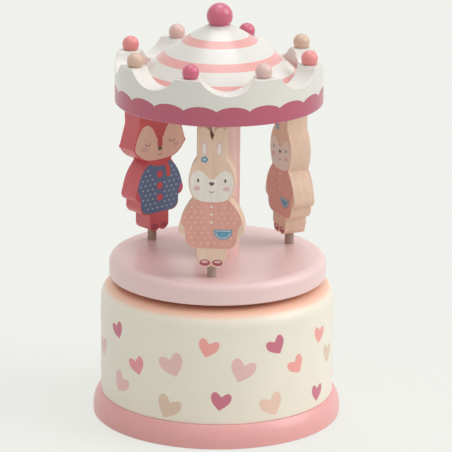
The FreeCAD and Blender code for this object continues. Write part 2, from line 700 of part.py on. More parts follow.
def mainspring():
    """Flat spiral strip of half-turn arcs that grow by half a pitch each."""
    inner = ARBOR_RADIUS + 2 * SPRING_ROOM
    room = barrel_radius - BARREL_WALL - SPRING_ROOM - SPRING_STRIP / 2 - inner
    half_pitch = room / SPRING_TURNS / 2
    sides = []
    for offset in (-SPRING_STRIP / 2, SPRING_STRIP / 2):
        arcs = []
        for n in range(2 * SPRING_TURNS):
            radius = inner + n * half_pitch + offset
            middle = 0.0 if n % 2 == 0 else half_pitch
            way = 1 if n % 2 == 0 else -1
            arcs.append(Part.Arc(V(middle + way * radius, 0, 0), V(middle, way * radius, 0),
                                 V(middle - way * radius, 0, 0)).toShape())
        sides.append(arcs)
    inner_start = sides[0][0].Vertexes[0].Point
    outer_start = sides[1][0].Vertexes[0].Point
    inner_end = sides[0][-1].Vertexes[-1].Point
    outer_end = sides[1][-1].Vertexes[-1].Point
    ends = [Part.makeLine(inner_end, outer_end), Part.makeLine(outer_start, inner_start)]
    outline = Part.Wire(Part.__sortEdges__(sides[0] + sides[1] + ends))
    height = BARREL_HEIGHT - BARREL_WALL - 2 * AXIAL_GAP
    strip = Part.Face(outline).extrude(V(0, 0, height))
    return moved(strip, 0, 0, barrel_under + AXIAL_GAP)


def winding_arbor():
    """Shaft from the clutch wheel up into the turntable's hub."""
    top = turntable_under + HUB_BOSS_HEIGHT - HEAD_SINK
    neck = ARBOR_RADIUS - CLIP_GROOVE
    groove_top = clip_top + PRESS_CLEARANCE
    groove_floor = clip_top - CLIP_THICKNESS - PRESS_CLEARANCE
    steps = [(ARBOR_RADIUS, arbor_end), (ARBOR_RADIUS, groove_floor), (neck, groove_floor)]
    steps += [(neck, groove_top), (ARBOR_RADIUS, groove_top), (ARBOR_RADIUS, top), (0, top)]
    return lathe((0, arbor_end), steps)


def arbor_clip():
    neck = ARBOR_RADIUS - CLIP_GROOVE + PRESS_CLEARANCE
    low = clip_top - CLIP_THICKNESS
    mouth = box(0, 2 * CLIP_RADIUS, -0.8 * neck, 0.8 * neck, low - 1, clip_top + 1)
    return single(ring(neck, CLIP_RADIUS, low, clip_top).cut(mouth))


def crown_wheel():
    """Wheel with upright teeth around its rim and a hub for the clutch spring."""
    bore = ARBOR_RADIUS + PRESS_CLEARANCE
    rim = crown_radius + CROWN_FACE / 2
    steps = [(rim, crown_under), (rim, crown_root_level), (CROWN_HUB_RADIUS, crown_root_level)]
    steps += [(CROWN_HUB_RADIUS, crown_hub_top), (bore, crown_hub_top), (bore, clip_top)]
    steps += [(CROWN_HUB_RADIUS, clip_top)]
    wheel = lathe((CROWN_HUB_RADIUS, crown_under), steps)
    low = crown_root_level - TOOTH_SINK
    high = crown_pitch_level + CROWN_MODULE
    half = math.pi * CROWN_MODULE * TOOTH_SHARE / 2
    lean = math.tan(math.radians(PRESSURE_ANGLE))
    wide = half + lean * (crown_pitch_level - low)
    narrow = half - lean * (high - crown_pitch_level)
    start = crown_radius - CROWN_FACE / 2
    corners = [(-wide, low), (wide, low), (narrow, high), (-narrow, high), (-wide, low)]
    outline = Part.makePolygon([V(start, y, z) for y, z in corners])
    tooth = Part.Face(outline).extrude(V(CROWN_FACE - TOOTH_SINK / 2, 0, 0))
    half_tooth = 180.0 / CROWN_TEETH
    return single(wheel.multiFuse([spun(tooth, a) for a in around(CROWN_TEETH, half_tooth)]))


def clutch_spring():
    """Square wire wrapped round the wheel's hub, which grips one way and slips the other."""
    half = CLUTCH_WIRE / 2
    pitch = CLUTCH_WIRE * 1.5
    middle = CROWN_HUB_RADIUS + PRESS_CLEARANCE + half
    path = Part.Wire(Part.makeHelix(pitch, pitch * CLUTCH_TURNS, middle).Edges)
    corners = [(-half, -half), (half, -half), (half, half), (-half, half), (-half, -half)]
    section = Part.makePolygon([V(middle + x, 0, z) for x, z in corners])
    coil = path.makePipeShell([section], True, True)
    return moved(coil, 0, 0, crown_root_level + half + PRESS_CLEARANCE)


def hanging_stem(start, y, below):
    return box(start, start + PLATE_THICKNESS, y - BEARING_LAND, y + BEARING_LAND,
               axle_level - below, bed_under)


def bearing_hole(start, y, radius):
    return axle(radius + RUNNING_CLEARANCE, start - 1, start + PLATE_THICKNESS + 1, y, axle_level)


def crossbar(start, low_y, high_y):
    return box(start, start + PLATE_THICKNESS, low_y, high_y, bed_under - CROSSBAR_DEPTH, bed_under)


def cylinder_bearing_inner():
    start = inner_plate_start
    pieces = [crossbar(start, -crossbar_half, crossbar_half)] + plate_tabs()[0]
    plate = hanging_stem(start, 0, BEARING_LAND).multiFuse(pieces)
    return single(plate.cut(bearing_hole(start, 0, AXLE_RADIUS)).removeSplitter())


def cylinder_bearing_outer():
    """End plate that carries the cylinder's axle and the governor's."""
    start = outer_plate_start
    pieces = [crossbar(start, governor_y - BEARING_LAND, crossbar_half)] + plate_tabs()[1]
    pieces += [hanging_stem(start, governor_y, BEARING_LAND)]
    plate = hanging_stem(start, 0, BEARING_LAND).multiFuse(pieces)
    holes = [bearing_hole(start, y, AXLE_RADIUS) for y in (0, governor_y)]
    return single(plate.cut(Part.makeCompound(holes)).removeSplitter())


def governor_bearing_inner():
    start = governor_plate_start
    plate = hanging_stem(start, governor_y, BEARING_LAND).multiFuse(plate_tabs()[2])
    return single(plate.cut(bearing_hole(start, governor_y, AXLE_RADIUS)).removeSplitter())


def comb_block():
    low = axle_level + COMB_THICKNESS / 2
    block = box(cylinder_start - COMB_END, cylinder_end + COMB_END,
                comb_back_y - COMB_BLOCK_DEPTH, comb_back_y, low, bed_under)
    return block.cut(Part.makeCompound(comb_screw_set(SCREW_CLEARANCE)))


def tuned_comb():
    """Steel comb whose slots get deeper towards the long, low notes."""
    tooth = COMB_PITCH - COMB_SLOT
    root = comb_back_y - COMB_BLOCK_DEPTH
    points = [V(cylinder_start - COMB_END, comb_back_y, 0), V(cylinder_start - COMB_END, root, 0)]
    for n in range(COMB_TEETH):
        left = cylinder_start + n * COMB_PITCH + COMB_SLOT / 2
        floor = root - COMB_SLOT_GROWTH * n / COMB_TEETH
        points += [V(left, floor, 0), V(left, comb_tip_y, 0)]
        points += [V(left + tooth, comb_tip_y, 0), V(left + tooth, floor, 0)]
    points += [V(cylinder_end + COMB_END, root, 0), V(cylinder_end + COMB_END, comb_back_y, 0)]
    comb = Part.Face(Part.makePolygon(points + points[:1])).extrude(V(0, 0, COMB_THICKNESS))
    comb = moved(comb, 0, 0, axle_level - COMB_THICKNESS / 2)
    return comb.cut(Part.makeCompound(comb_screw_set(SCREW_CLEARANCE)))


def pinned_cylinder():
    """Brass cylinder with a row of tune pins for each tooth of the comb."""
    body = axle(CYLINDER_RADIUS, cylinder_start, cylinder_end, 0, axle_level)
    bore = AXLE_RADIUS + PRESS_CLEARANCE
    body = body.cut(axle(bore, cylinder_start - 1, cylinder_end + 1, 0, axle_level))
    pins = []
    for track in range(COMB_TEETH):
        x = cylinder_start + (track + 0.5) * COMB_PITCH
        for n in range(PINS_PER_TRACK):
            angle = 2 * math.pi * ((PINS_PER_TRACK * track + n) * 0.618 % 1.0)
            way = V(0, math.cos(angle), math.sin(angle))
            foot = V(x, 0, axle_level) + way * (CYLINDER_RADIUS - PIN_ROOT)
            pins.append(Part.makeCylinder(PIN_RADIUS, PIN_HEIGHT + PIN_ROOT, foot, way))
    return single(body.multiFuse(pins))


def cylinder_axle():
    return axle(AXLE_RADIUS, pinion_start - AXIAL_GAP / 2, axle_end, 0, axle_level)


def cylinder_pinion():
    gear = spur_gear(PINION_TEETH, CROWN_MODULE, CROWN_FACE, AXLE_RADIUS + PRESS_CLEARANCE)
    return along_x(gear, pinion_start, 0, axle_level)


def cylinder_wheel():
    gear = spur_gear(CYLINDER_WHEEL_TEETH, TRAIN_MODULE, CYLINDER_WHEEL_WIDTH,
                     AXLE_RADIUS + PRESS_CLEARANCE)
    middle = (GOVERNOR_PINION_WIDTH - CYLINDER_WHEEL_WIDTH) / 2
    return along_x(gear, wheel_start + middle, 0, axle_level)


def governor_arbor():
    return axle(AXLE_RADIUS, governor_plate_start - AXIAL_GAP, axle_end, governor_y, axle_level)


def governor_pinion():
    gear = spur_gear(GOVERNOR_PINION_TEETH, TRAIN_MODULE, GOVERNOR_PINION_WIDTH,
                     AXLE_RADIUS + PRESS_CLEARANCE)
    half_tooth = 180.0 / GOVERNOR_PINION_TEETH
    return along_x(gear, wheel_start, governor_y, axle_level, half_tooth)


def worm_wheel():
    gear = spur_gear(WORM_WHEEL_TEETH, TRAIN_MODULE, WORM_WHEEL_WIDTH, AXLE_RADIUS + PRESS_CLEARANCE)
    return along_x(gear, WORM_STATION - WORM_WHEEL_WIDTH / 2, governor_y, axle_level)


def worm_spindle():
    """Fast shaft with a one-start worm, running on two fine pivots."""
    top = bed_under - AXIAL_GAP
    steps = [(PIVOT_RADIUS, worm_end - PIVOT_LENGTH), (PIVOT_RADIUS, worm_end), (worm_core, worm_end)]
    steps += [(worm_core, top), (PIVOT_RADIUS, top), (PIVOT_RADIUS, top + PIVOT_LENGTH)]
    shaft = lathe((0, worm_end - PIVOT_LENGTH), steps + [(0, top + PIVOT_LENGTH)])
    lean = math.tan(math.radians(PRESSURE_ANGLE))
    half = worm_lead * WORM_THREAD_SHARE / 2
    inside = worm_core - TOOTH_SINK / 2
    wide = half + lean * (WORM_PITCH_RADIUS - inside)
    narrow = half - lean * (worm_tip - WORM_PITCH_RADIUS)
    length = worm_lead * WORM_TURNS
    path = Part.Wire(Part.makeHelix(worm_lead, length, worm_core).Edges)
    corners = [(inside, -wide), (worm_tip, -narrow), (worm_tip, narrow), (inside, wide), (inside, -wide)]
    section = Part.makePolygon([V(x, 0, z) for x, z in corners])
    thread = path.makePipeShell([section], True, True)
    thread = moved(spun(thread, 90), 0, 0, axle_level - length / 2)
    return moved(single(shaft.fuse(thread)), WORM_STATION, worm_y, 0)


def governor_fan():
    """Two-bladed air brake on the spindle."""
    low = worm_end + FAN_FOOT
    high = low + FAN_HEIGHT
    hub = rod(worm_core + FAN_HUB_WALL, low, high)
    blades = box(-FAN_RADIUS, FAN_RADIUS, -FAN_BLADE / 2, FAN_BLADE / 2, low, high)
    fan = hub.fuse(blades).cut(rod(worm_core + PRESS_CLEARANCE, low - 1, high + 1))
    return moved(single(fan.removeSplitter()), WORM_STATION, worm_y, 0)


def governor_bracket():
    """Bent strip that holds the lower pivot of the fan's spindle."""
    back = bracket_back - PLATE_THICKNESS
    foot_end = bracket_back + BRACKET_FOOT
    arm_end = worm_y + BRACKET_FOOT / 2
    arm_top = worm_end - AXIAL_GAP
    arm_low = arm_top - PLATE_THICKNESS
    foot_low = bed_under - PLATE_THICKNESS
    corners = [(foot_end, bed_under), (back, bed_under), (back, arm_low), (arm_end, arm_low)]
    corners += [(arm_end, arm_top), (bracket_back, arm_top), (bracket_back, foot_low)]
    corners += [(foot_end, foot_low), (foot_end, bed_under)]
    start = WORM_STATION - BRACKET_WIDTH / 2
    strip = Part.Face(Part.makePolygon([V(start, y, z) for y, z in corners]))
    strip = strip.extrude(V(BRACKET_WIDTH, 0, 0))
    pivot = rod(PIVOT_RADIUS + RUNNING_CLEARANCE, arm_low - 1, arm_top + 1, WORM_STATION, worm_y)
    return strip.cut(pivot).cut(bracket_screw(SCREW_CLEARANCE))


parts = {
    "base_plinth": base_plinth(),
    "plinth_screws": Part.makeCompound(plinth_screw_set()),
    "drum_shell": drum_shell(),
    "deck_bush": deck_bush(),
    "thrust_washer": thrust_washer(),
    "movement_bedplate": movement_bedplate(),
    "bedplate_screws": Part.makeCompound(bed_screw_set()),
    "spring_barrel": spring_barrel(),
    "mainspring": mainspring(),
    "cylinder_bearing_inner": cylinder_bearing_inner(),
    "cylinder_bearing_outer": cylinder_bearing_outer(),
    "comb_block": comb_block(),
    "tuned_comb": tuned_comb(),
    "comb_screws": Part.makeCompound(comb_screw_set()),
    "governor_bearing_inner": governor_bearing_inner(),
    "governor_bracket": governor_bracket(),
    "governor_bracket_screw": bracket_screw(),
    "winding_arbor": winding_arbor(),
    "crown_wheel": crown_wheel(),
    "clutch_spring": clutch_spring(),
    "arbor_clip": arbor_clip(),
    "turntable_hub": turntable_hub(),
    "hub_screws": Part.makeCompound(hub_screw_set()),
    "turntable": turntable(),
    "column": column(),
    "canopy_ring": canopy_ring(),
    "canopy_dome": canopy_dome(),
    "finial_ball": finial_ball(),
    "finial_dowel": rod(FINIAL_DOWEL_RADIUS, dome_top - FINIAL_DOWEL_REACH, dome_top + FINIAL_DOWEL_REACH),
    "bead_pins": Part.makeCompound(bead_pin_set()),
    "cylinder_axle": cylinder_axle(),
    "pinned_cylinder": pinned_cylinder(),
    "cylinder_pinion": cylinder_pinion(),
    "cylinder_wheel": cylinder_wheel(),
    "governor_arbor": governor_arbor(),
    "governor_pinion": governor_pinion(),
    "worm_wheel": worm_wheel(),
    "worm_spindle": worm_spindle(),
    "governor_fan": governor_fan(),
}
for name, angle in FIGURE_ANGLES.items():
    parts["peg_" + name] = peg(angle)
    if name == "fox":
        parts["figure_" + name] = figure(fox_steps(), angle, FOX_TWIST)
    else:
        parts["figure_" + name] = figure(rabbit_steps(), angle)
for number, angle in enumerate(around(PEAK_COUNT, FIRST_PEAK_ANGLE), 1):
    parts["bead_%d" % number] = bead(angle)

os.makedirs("parts", exist_ok=True)
for name, shape in parts.items():
    shape.exportStep("parts/%s.step" % name)
    print(name, len(shape.Solids), shape.isValid(), round(shape.Volume, 1))
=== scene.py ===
# %% [markdown]
# # A carousel music box in turned wood
# The solid parts come from the imported model, which is the fixed frame: every piece made here is in
# metres, in the same place as the solid that it dresses. This first cell loads the frame, with a way
# to read the box of any of its solids.

# %% Load the frame
import json
import math
import bpy
import numpy as np
from mathutils import Matrix, Vector


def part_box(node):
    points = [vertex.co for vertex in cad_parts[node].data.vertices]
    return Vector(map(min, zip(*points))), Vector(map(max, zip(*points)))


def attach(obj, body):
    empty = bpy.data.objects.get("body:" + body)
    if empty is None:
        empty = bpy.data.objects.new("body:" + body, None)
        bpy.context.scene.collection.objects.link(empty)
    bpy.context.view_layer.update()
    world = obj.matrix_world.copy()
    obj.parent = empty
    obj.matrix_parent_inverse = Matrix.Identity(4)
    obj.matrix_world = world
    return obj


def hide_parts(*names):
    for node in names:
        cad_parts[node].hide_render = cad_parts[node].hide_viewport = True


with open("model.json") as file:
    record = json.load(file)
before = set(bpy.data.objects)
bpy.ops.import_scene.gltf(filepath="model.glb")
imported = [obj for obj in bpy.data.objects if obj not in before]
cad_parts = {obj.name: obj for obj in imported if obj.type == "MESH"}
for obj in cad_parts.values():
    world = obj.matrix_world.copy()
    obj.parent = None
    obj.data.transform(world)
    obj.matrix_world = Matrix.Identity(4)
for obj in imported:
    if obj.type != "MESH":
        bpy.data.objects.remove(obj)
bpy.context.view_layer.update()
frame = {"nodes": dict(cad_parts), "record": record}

scene = bpy.context.scene
MM = 0.001

# %% [markdown]
# ## Camera
# The picture was taken from a long way off, a little above, so the lens is long and the tilt is
# gentle. The camera stands almost straight in front, about four degrees round to the right. Its
# three axes are built one after another: a small turn, the tilt down, then a very slight roll.

# %% Camera
CAMERA_DISTANCE = 1.553
CAMERA_HEIGHT = 0.548
CAMERA_AZIMUTH = 3.95
CAMERA_TURN = 0.138
CAMERA_TILT = 16.473
CAMERA_ROLL = 0.545
SENSOR = 36.0
LENS = 279.4


def photo_camera():
    """Camera matrix: its columns are right, up and backward, then all of it is turned about Z."""
    turn, tilt, roll = (math.radians(a) for a in (CAMERA_TURN, CAMERA_TILT, CAMERA_ROLL))
    level = Vector((math.sin(turn), math.cos(turn), 0))
    ahead = level * math.cos(tilt) - Vector((0, 0, math.sin(tilt)))
    right = Vector((math.cos(turn), -math.sin(turn), 0))
    up = right.cross(ahead)
    side = right * math.cos(roll) + up * math.sin(roll)
    top = up * math.cos(roll) - right * math.sin(roll)
    axes = Matrix((side, top, -ahead)).transposed().to_4x4()
    place = Matrix.Translation((0, -CAMERA_DISTANCE, CAMERA_HEIGHT))
    return Matrix.Rotation(math.radians(CAMERA_AZIMUTH), 4, "Z") @ place @ axes


lens = bpy.data.cameras.new("camera")
lens.sensor_fit = "HORIZONTAL"
lens.sensor_width = SENSOR
lens.lens = LENS
lens.clip_start = 0.05
camera = bpy.data.objects.new("camera", lens)
camera.matrix_world = photo_camera()
scene.collection.objects.link(camera)
scene.camera = camera
print("camera at", [round(c, 3) for c in camera.location])

# %% [markdown]
# ## Lamps
# A studio photograph of a toy has large soft lamps: here one to the right, which rounds the drum
# and the canopy, and two overhead, of which the one at the back makes the dome shine. A sun with a
# wide disc gives the same soft edge to the shadows and lights the floor evenly, because it is
# infinitely far away.

# %% Lamps
LAMPS = [       # name, degrees to the right of the front, degrees above the floor, disc, power
    ("side_lamp", 86.0, 36.0, 44.0, 1.30),
    ("top_lamp", 0.0, 76.0, 70.0, 0.88),
    ("back_lamp", 180.0, 74.0, 36.0, 0.66),
]
LAMP_COLOUR = (0.980, 0.985, 0.995)


def lamp_turn(azimuth, height):
    """A sun shines along its own -Z, so it is tipped from straight down and then swung round."""
    tip = Matrix.Rotation(math.radians(90 - height), 4, "X")
    return Matrix.Rotation(math.radians(azimuth), 4, "Z") @ tip


for name, azimuth, height, disc, power in LAMPS:
    sun = bpy.data.lights.new(name, "SUN")
    sun.energy = power
    sun.angle = math.radians(disc)
    sun.color = LAMP_COLOUR
    lamp = bpy.data.objects.new(name, sun)
    lamp.matrix_world = lamp_turn(azimuth, height)
    scene.collection.objects.link(lamp)
    print(name, power)

# %% [markdown]
# ## Pale surroundings
# White walls fill the shadows, so the world is an even pale light. Rays from the camera, and mirror
# and glass rays, see a backdrop of their own brightness instead, so that the background's colour
# does not depend on how strong the fill is.

# %% World
SKY_LEVEL = 0.34
PALE = (0.871, 0.880, 0.839, 1.0)


def put(tree, kind, inputs=(), **settings):
    """Adds a node. An input that is a socket is linked, and any other value is set."""
    node = tree.nodes.new(kind)
    for key, value in settings.items():
        setattr(node, key, value)
    for key, value in dict(inputs).items():
        if isinstance(value, bpy.types.NodeSocket):
            tree.links.new(value, node.inputs[key])
        else:
            node.inputs[key].default_value = value
    return node


def calculated(tree, operation, *values):
    """Result of a Math node on sockets or numbers."""
    return put(tree, "ShaderNodeMath", dict(enumerate(values)), operation=operation).outputs[0]


def seen_directly(tree):
    """One for camera, mirror and glass rays, and zero for the rays that carry light between pieces."""
    path = put(tree, "ShaderNodeLightPath").outputs
    mirror = calculated(tree, "MAXIMUM", path["Is Glossy Ray"], path["Is Transmission Ray"])
    return calculated(tree, "MAXIMUM", path["Is Camera Ray"], mirror)


world = bpy.data.worlds.new("studio")
world.use_nodes = True
scene.world = world
sky = world.node_tree
walls = sky.nodes["Background"]
walls.inputs["Color"].default_value = (*LAMP_COLOUR, 1.0)
walls.inputs["Strength"].default_value = SKY_LEVEL
backdrop = put(sky, "ShaderNodeBackground", {"Color": PALE, "Strength": 1.0})
shares = {0: seen_directly(sky), 1: walls.outputs[0], 2: backdrop.outputs[0]}
both = put(sky, "ShaderNodeMixShader", shares)
sky.links.new(both.outputs[0], sky.nodes["World Output"].inputs["Surface"])
scene.view_settings.view_transform = "Standard"
print("sky level", SKY_LEVEL)

# %% [markdown]
# ## Floor
# The floor is a sheet of pale paper. Seen directly, most of its brightness is its own pale glow, so
# the sheet melts into the backdrop, and the rest is real shading, which keeps a faint shadow.

# %% Floor
FLOOR_HALF = 8.0
FLOOR_GLOW = 0.7
PAPER = (0.842, 0.852, 0.800, 1.0)
corners = np.array([(-1, -1, 0), (1, -1, 0), (1, 1, 0), (-1, 1, 0)]) * FLOOR_HALF
floor_mesh = bpy.data.meshes.new("floor")
floor_mesh.from_pydata(corners.tolist(), [], [(0, 1, 2, 3)])
floor = bpy.data.objects.new("floor", floor_mesh)
scene.collection.objects.link(floor)

paper = bpy.data.materials.new("floor_paper")
paper.use_nodes = True
sheet = paper.node_tree
matt = put(sheet, "ShaderNodeBsdfDiffuse", {"Color": PAPER})
glow = put(sheet, "ShaderNodeEmission", {"Color": PALE, "Strength": 1.0})
glow_share = calculated(sheet, "MULTIPLY", seen_directly(sheet), FLOOR_GLOW)
shown = put(sheet, "ShaderNodeMixShader", {0: glow_share, 1: matt.outputs[0], 2: glow.outputs[0]})
sheet.links.new(shown.outputs[0], sheet.nodes["Material Output"].inputs["Surface"])
floor_mesh.materials.append(paper)
print("floor", 2 * FLOOR_HALF, "m wide")

# %% [markdown]
# ## Colours and ramps
# Colours are written as on a screen, 0 to 255, and changed to light levels, because shaders count
# in light. Every finish below starts from the same blank: a Principled shader and the Object
# coordinates, which stay with the piece when it moves.

# %% Colours


def light_level(red, green, blue):
    """Screen colour to linear light, by the usual curve of a power of 2.4 with a straight foot."""
    share = np.array((red, green, blue)) / 255.0
    level = np.where(share > 0.04045, ((share + 0.055) / 1.055) ** 2.4, share / 12.92)
    return (*level.tolist(), 1.0)


def shade(colour, factor):
    """The same colour, lighter or darker by a factor."""
    return (*(min(1.0, c * factor) for c in colour[:3]), 1.0)


def ramp(tree, factor, stops):
    """Colour ramp with a list of (position, colour)."""
    node = put(tree, "ShaderNodeValToRGB", {"Fac": factor})
    marks = node.color_ramp.elements
    while len(marks) < len(stops):
        marks.new(0.5)
    for mark, (position, colour) in zip(marks, stops):
        mark.position = position
        mark.color = colour
    return node.outputs["Color"]


def blank(name):
    material = bpy.data.materials.new(name)
    material.use_nodes = True
    tree = material.node_tree
    place = put(tree, "ShaderNodeTexCoord").outputs["Object"]
    return material, tree, tree.nodes["Principled BSDF"], place


print("a mid grey is", round(light_level(128, 128, 128)[0], 3), "in light")

# %% [markdown]
# ## Noise and relief
# Grain, lathe rings and brush lines are all uneven in one direction only. A noise in squeezed
# coordinates gives each of them, and the same noise pushes the surface up and down a little.

# %% Noise and relief
RELIEF = 0.2 * MM


def noise(tree, vector, scale, detail, **more):
    """Grey value of a noise at a vector."""
    inputs = {"Vector": vector, "Scale": scale, "Detail": detail, **more}
    return put(tree, "ShaderNodeTexNoise", inputs).outputs["Fac"]


def along_grain(tree, place, scale, detail, **more):
    """Noise in coordinates that are squeezed across the grain, so that its blotches become streaks."""
    squeezed = put(tree, "ShaderNodeMapping", {"Vector": place, "Scale": scale}).outputs["Vector"]
    return noise(tree, squeezed, 1.0, detail, **more)


def raised_by(tree, shader, height, strength):
    """Relief on a shader, from a grey value."""
    bump = put(tree, "ShaderNodeBump", {"Height": height, "Strength": strength, "Distance": RELIEF})
    tree.links.new(bump.outputs["Normal"], shader.inputs["Normal"])


print("relief is up to", RELIEF / MM, "mm high")

# %% [markdown]
# ## Paint on wood
# Toy paint is thick and satin: the colour wanders a little where the coat is thinner, the lathe's
# fine rings still show as ripples in the gloss, and the sheen is not the same everywhere. One noise
# moves the colour, a second one, squeezed flat along Z, makes the rings, and a third moves the
# roughness. A thin coat of clear varnish over it all brightens the edges that turn away.

# %% Paint
TURNED = (25.0, 25.0, 700.0)
PLAIN = (500.0, 500.0, 500.0)
CLOUDS = 70.0           # scale of the drift in colour
SMEARS = 60.0           # scale of the change in sheen
VARNISH = 0.3
VARNISH_SHARE = 0.6     # roughness of the varnish, as a share of the paint's


def coat_of_paint(tree, place, colour, wander):
    """A paint colour that drifts lighter and darker over a centimetre or two."""
    cloud = noise(tree, place, CLOUDS, 4.0)
    return ramp(tree, cloud, [(0.32, shade(colour, 1 - wander)), (0.68, shade(colour, 1 + wander))])


def satin(tree, shader, place, gloss, ripple, squeeze):
    """Roughness that varies about the gloss, ripples from a squeezed noise, and varnish."""
    shader.inputs["Coat Weight"].default_value = VARNISH
    shader.inputs["Coat Roughness"].default_value = VARNISH_SHARE * gloss
    span = {"Value": noise(tree, place, SMEARS, 1.0), "From Min": 0.3, "From Max": 0.7,
            "To Min": 0.94 * gloss, "To Max": 1.08 * gloss}
    rough = put(tree, "ShaderNodeMapRange", span)
    tree.links.new(rough.outputs["Result"], shader.inputs["Roughness"])
    raised_by(tree, shader, along_grain(tree, place, squeeze, 3.0), ripple)


def painted(name, colour, gloss=0.36, ripple=0.035, squeeze=TURNED, wander=0.014):
    """One paint all over, with its drift, its sheen and its ripples."""
    material, tree, shader, place = blank(name)
    coat = coat_of_paint(tree, place, light_level(*colour), wander)
    tree.links.new(coat, shader.inputs["Base Color"])
    satin(tree, shader, place, gloss, ripple, squeeze)
    return material


plinth_paint = painted("plinth_paint", (240, 172, 169))
turntable_paint = painted("turntable_paint", (243, 210, 208), 0.36, 0.0, TURNED, 0.006)
column_paint = painted("column_paint", (244, 202, 194), 0.32)
plum_paint = painted("plum_bead_paint", (214, 100, 130), 0.24, 0.02, PLAIN)
pale_paint = painted("pale_bead_paint", (228, 192, 184), 0.30, 0.02, PLAIN)
coral_paint = painted("coral_bead_paint", (240, 148, 144), 0.26, 0.02, PLAIN)
tan_paint = painted("tan_bead_paint", (220, 188, 166), 0.30, 0.02, PLAIN)
finial_paint = painted("finial_paint", (216, 106, 134), 0.17, 0.02, PLAIN)
print("paints:", len(bpy.data.materials) - 1)

# %% [markdown]
# ## Two paints on one piece
# The canopy has a plum band on white and the dome has pink rings. The drum's cream gives way to a
# painted shade round the turntable's foot: a warm orange for the turntable's shadow and its pink
# bounce light. Masking by an image would need a map, so the piece carries a number at each point
# instead: the distance in millimetres to the edge of the second colour. The material only has to ask
# whether the number is positive, softly or sharply.

# %% Two paints


def two_paints(name, first, second, mark, soft, gloss, ripple=0.03, wander=0.012):
    """The first paint where the mark is below the soft zone, and the second where it is above."""
    material, tree, shader, place = blank(name)
    depth = put(tree, "ShaderNodeAttribute", attribute_name=mark).outputs["Fac"]
    edge = put(tree, "ShaderNodeMapRange", {"Value": depth, "From Min": soft[0], "From Max": soft[1]},
               interpolation_type="SMOOTHSTEP").outputs["Result"]
    coats = [coat_of_paint(tree, place, light_level(*colour), wander) for colour in (first, second)]
    mixed = put(tree, "ShaderNodeMixRGB", {"Fac": edge, "Color1": coats[0], "Color2": coats[1]})
    tree.links.new(mixed.outputs["Color"], shader.inputs["Base Color"])
    satin(tree, shader, place, gloss, ripple, TURNED)
    return material


def points_of(piece):
    """The piece's points as an array of three columns."""
    flat = np.empty(3 * len(piece.data.vertices))
    piece.data.vertices.foreach_get("co", flat)
    return flat.reshape(-1, 3)


def mark_points(piece, name, values):
    """Stores one number at each point of a piece."""
    layer = piece.data.attributes.new(name, "FLOAT", "POINT")
    layer.data.foreach_set("value", np.asarray(values, np.float32))
    print(piece.name, "marked with", name)


SHARP = (-0.06, 0.06)
CREAM = (245, 237, 220)
# Painted shade: a warm orange standing for the turntable's shadow and pink bounce light on the drum.
BOUNCE_SHADE = (250, 198, 170)
WHITE = (232, 228, 221)
drum_paint = two_paints("drum_paint", CREAM, BOUNCE_SHADE, "deck", (-1.9, 0.5), 0.40)
canopy_paint = two_paints("canopy_paint", WHITE, (190, 90, 115), "band", SHARP, 0.32)
dome_paint = two_paints("dome_paint", WHITE, (238, 172, 166), "rings", SHARP, 0.24)
print("two paints each:", ", ".join(paint.name for paint in (drum_paint, canopy_paint, dome_paint)))

# %% [markdown]
# ## Outlines for the lathe
# Plinth, drum, turntable, column, pegs and balls all come off a lathe: an outline of radius and
# height is carried round the axis. Real edges are never sharp, so each corner of the outline gets
# its own round. A point is added on the straight runs close to each round, so that smooth shading
# does not bend the broad flat faces.

# %% Rounded outline
HOLD = 0.35 * MM


def rounded_corner(before, here, after, size, steps=8):
    """Arc that touches both sides of a corner, with a holding point on each side.

    The arc's centre lies on the corner's bisector, at size / sin(half the corner's angle), and the
    arc meets the sides at size / tan(half the angle) from the corner.
    """
    one = (before - here) / np.linalg.norm(before - here)
    two = (after - here) / np.linalg.norm(after - here)
    half = math.acos(np.clip(one @ two, -1, 1)) / 2
    reach = size / math.tan(half)
    middle = here + (one + two) / np.linalg.norm(one + two) * size / math.sin(half)
    start = here + one * reach - middle
    turn = math.copysign(math.pi - 2 * half, one[1] * two[0] - one[0] * two[1])
    angle = np.linspace(0, turn, steps + 1)[:, None]
    arc = middle + start * np.cos(angle) + np.array((-start[1], start[0])) * np.sin(angle)
    spare = [reach + min(HOLD, 0.1 * np.linalg.norm(end - here)) for end in (before, after)]
    return np.concatenate(([here + one * spare[0]], arc, [here + two * spare[1]]))


def turned_outline(corners):
    """Outline through (radius, height, round) corners."""
    points = np.array([c[:2] for c in corners], float)
    pieces = [points[:1]]
    for before, here, after, corner in zip(points[:-2], points[1:-1], points[2:], corners[1:-1]):
        pieces.append(rounded_corner(before, here, after, corner[2]) if corner[2] else here[None])
    return np.concatenate(pieces + [points[-1:]])


print("a rounded corner has", len(rounded_corner(*np.eye(3)[:, :2], 0.1)), "points")

# %% [markdown]
# ## Turning
# The outline becomes rings of points, one ring for each point of the outline, and quads join each
# ring to the next. An outline that starts on the axis is closed with a fan at both ends, and any
# other outline is a closed loop, as for the hollow drum.

# %% Lathe
BROAD = 224     # points round the broadest pieces


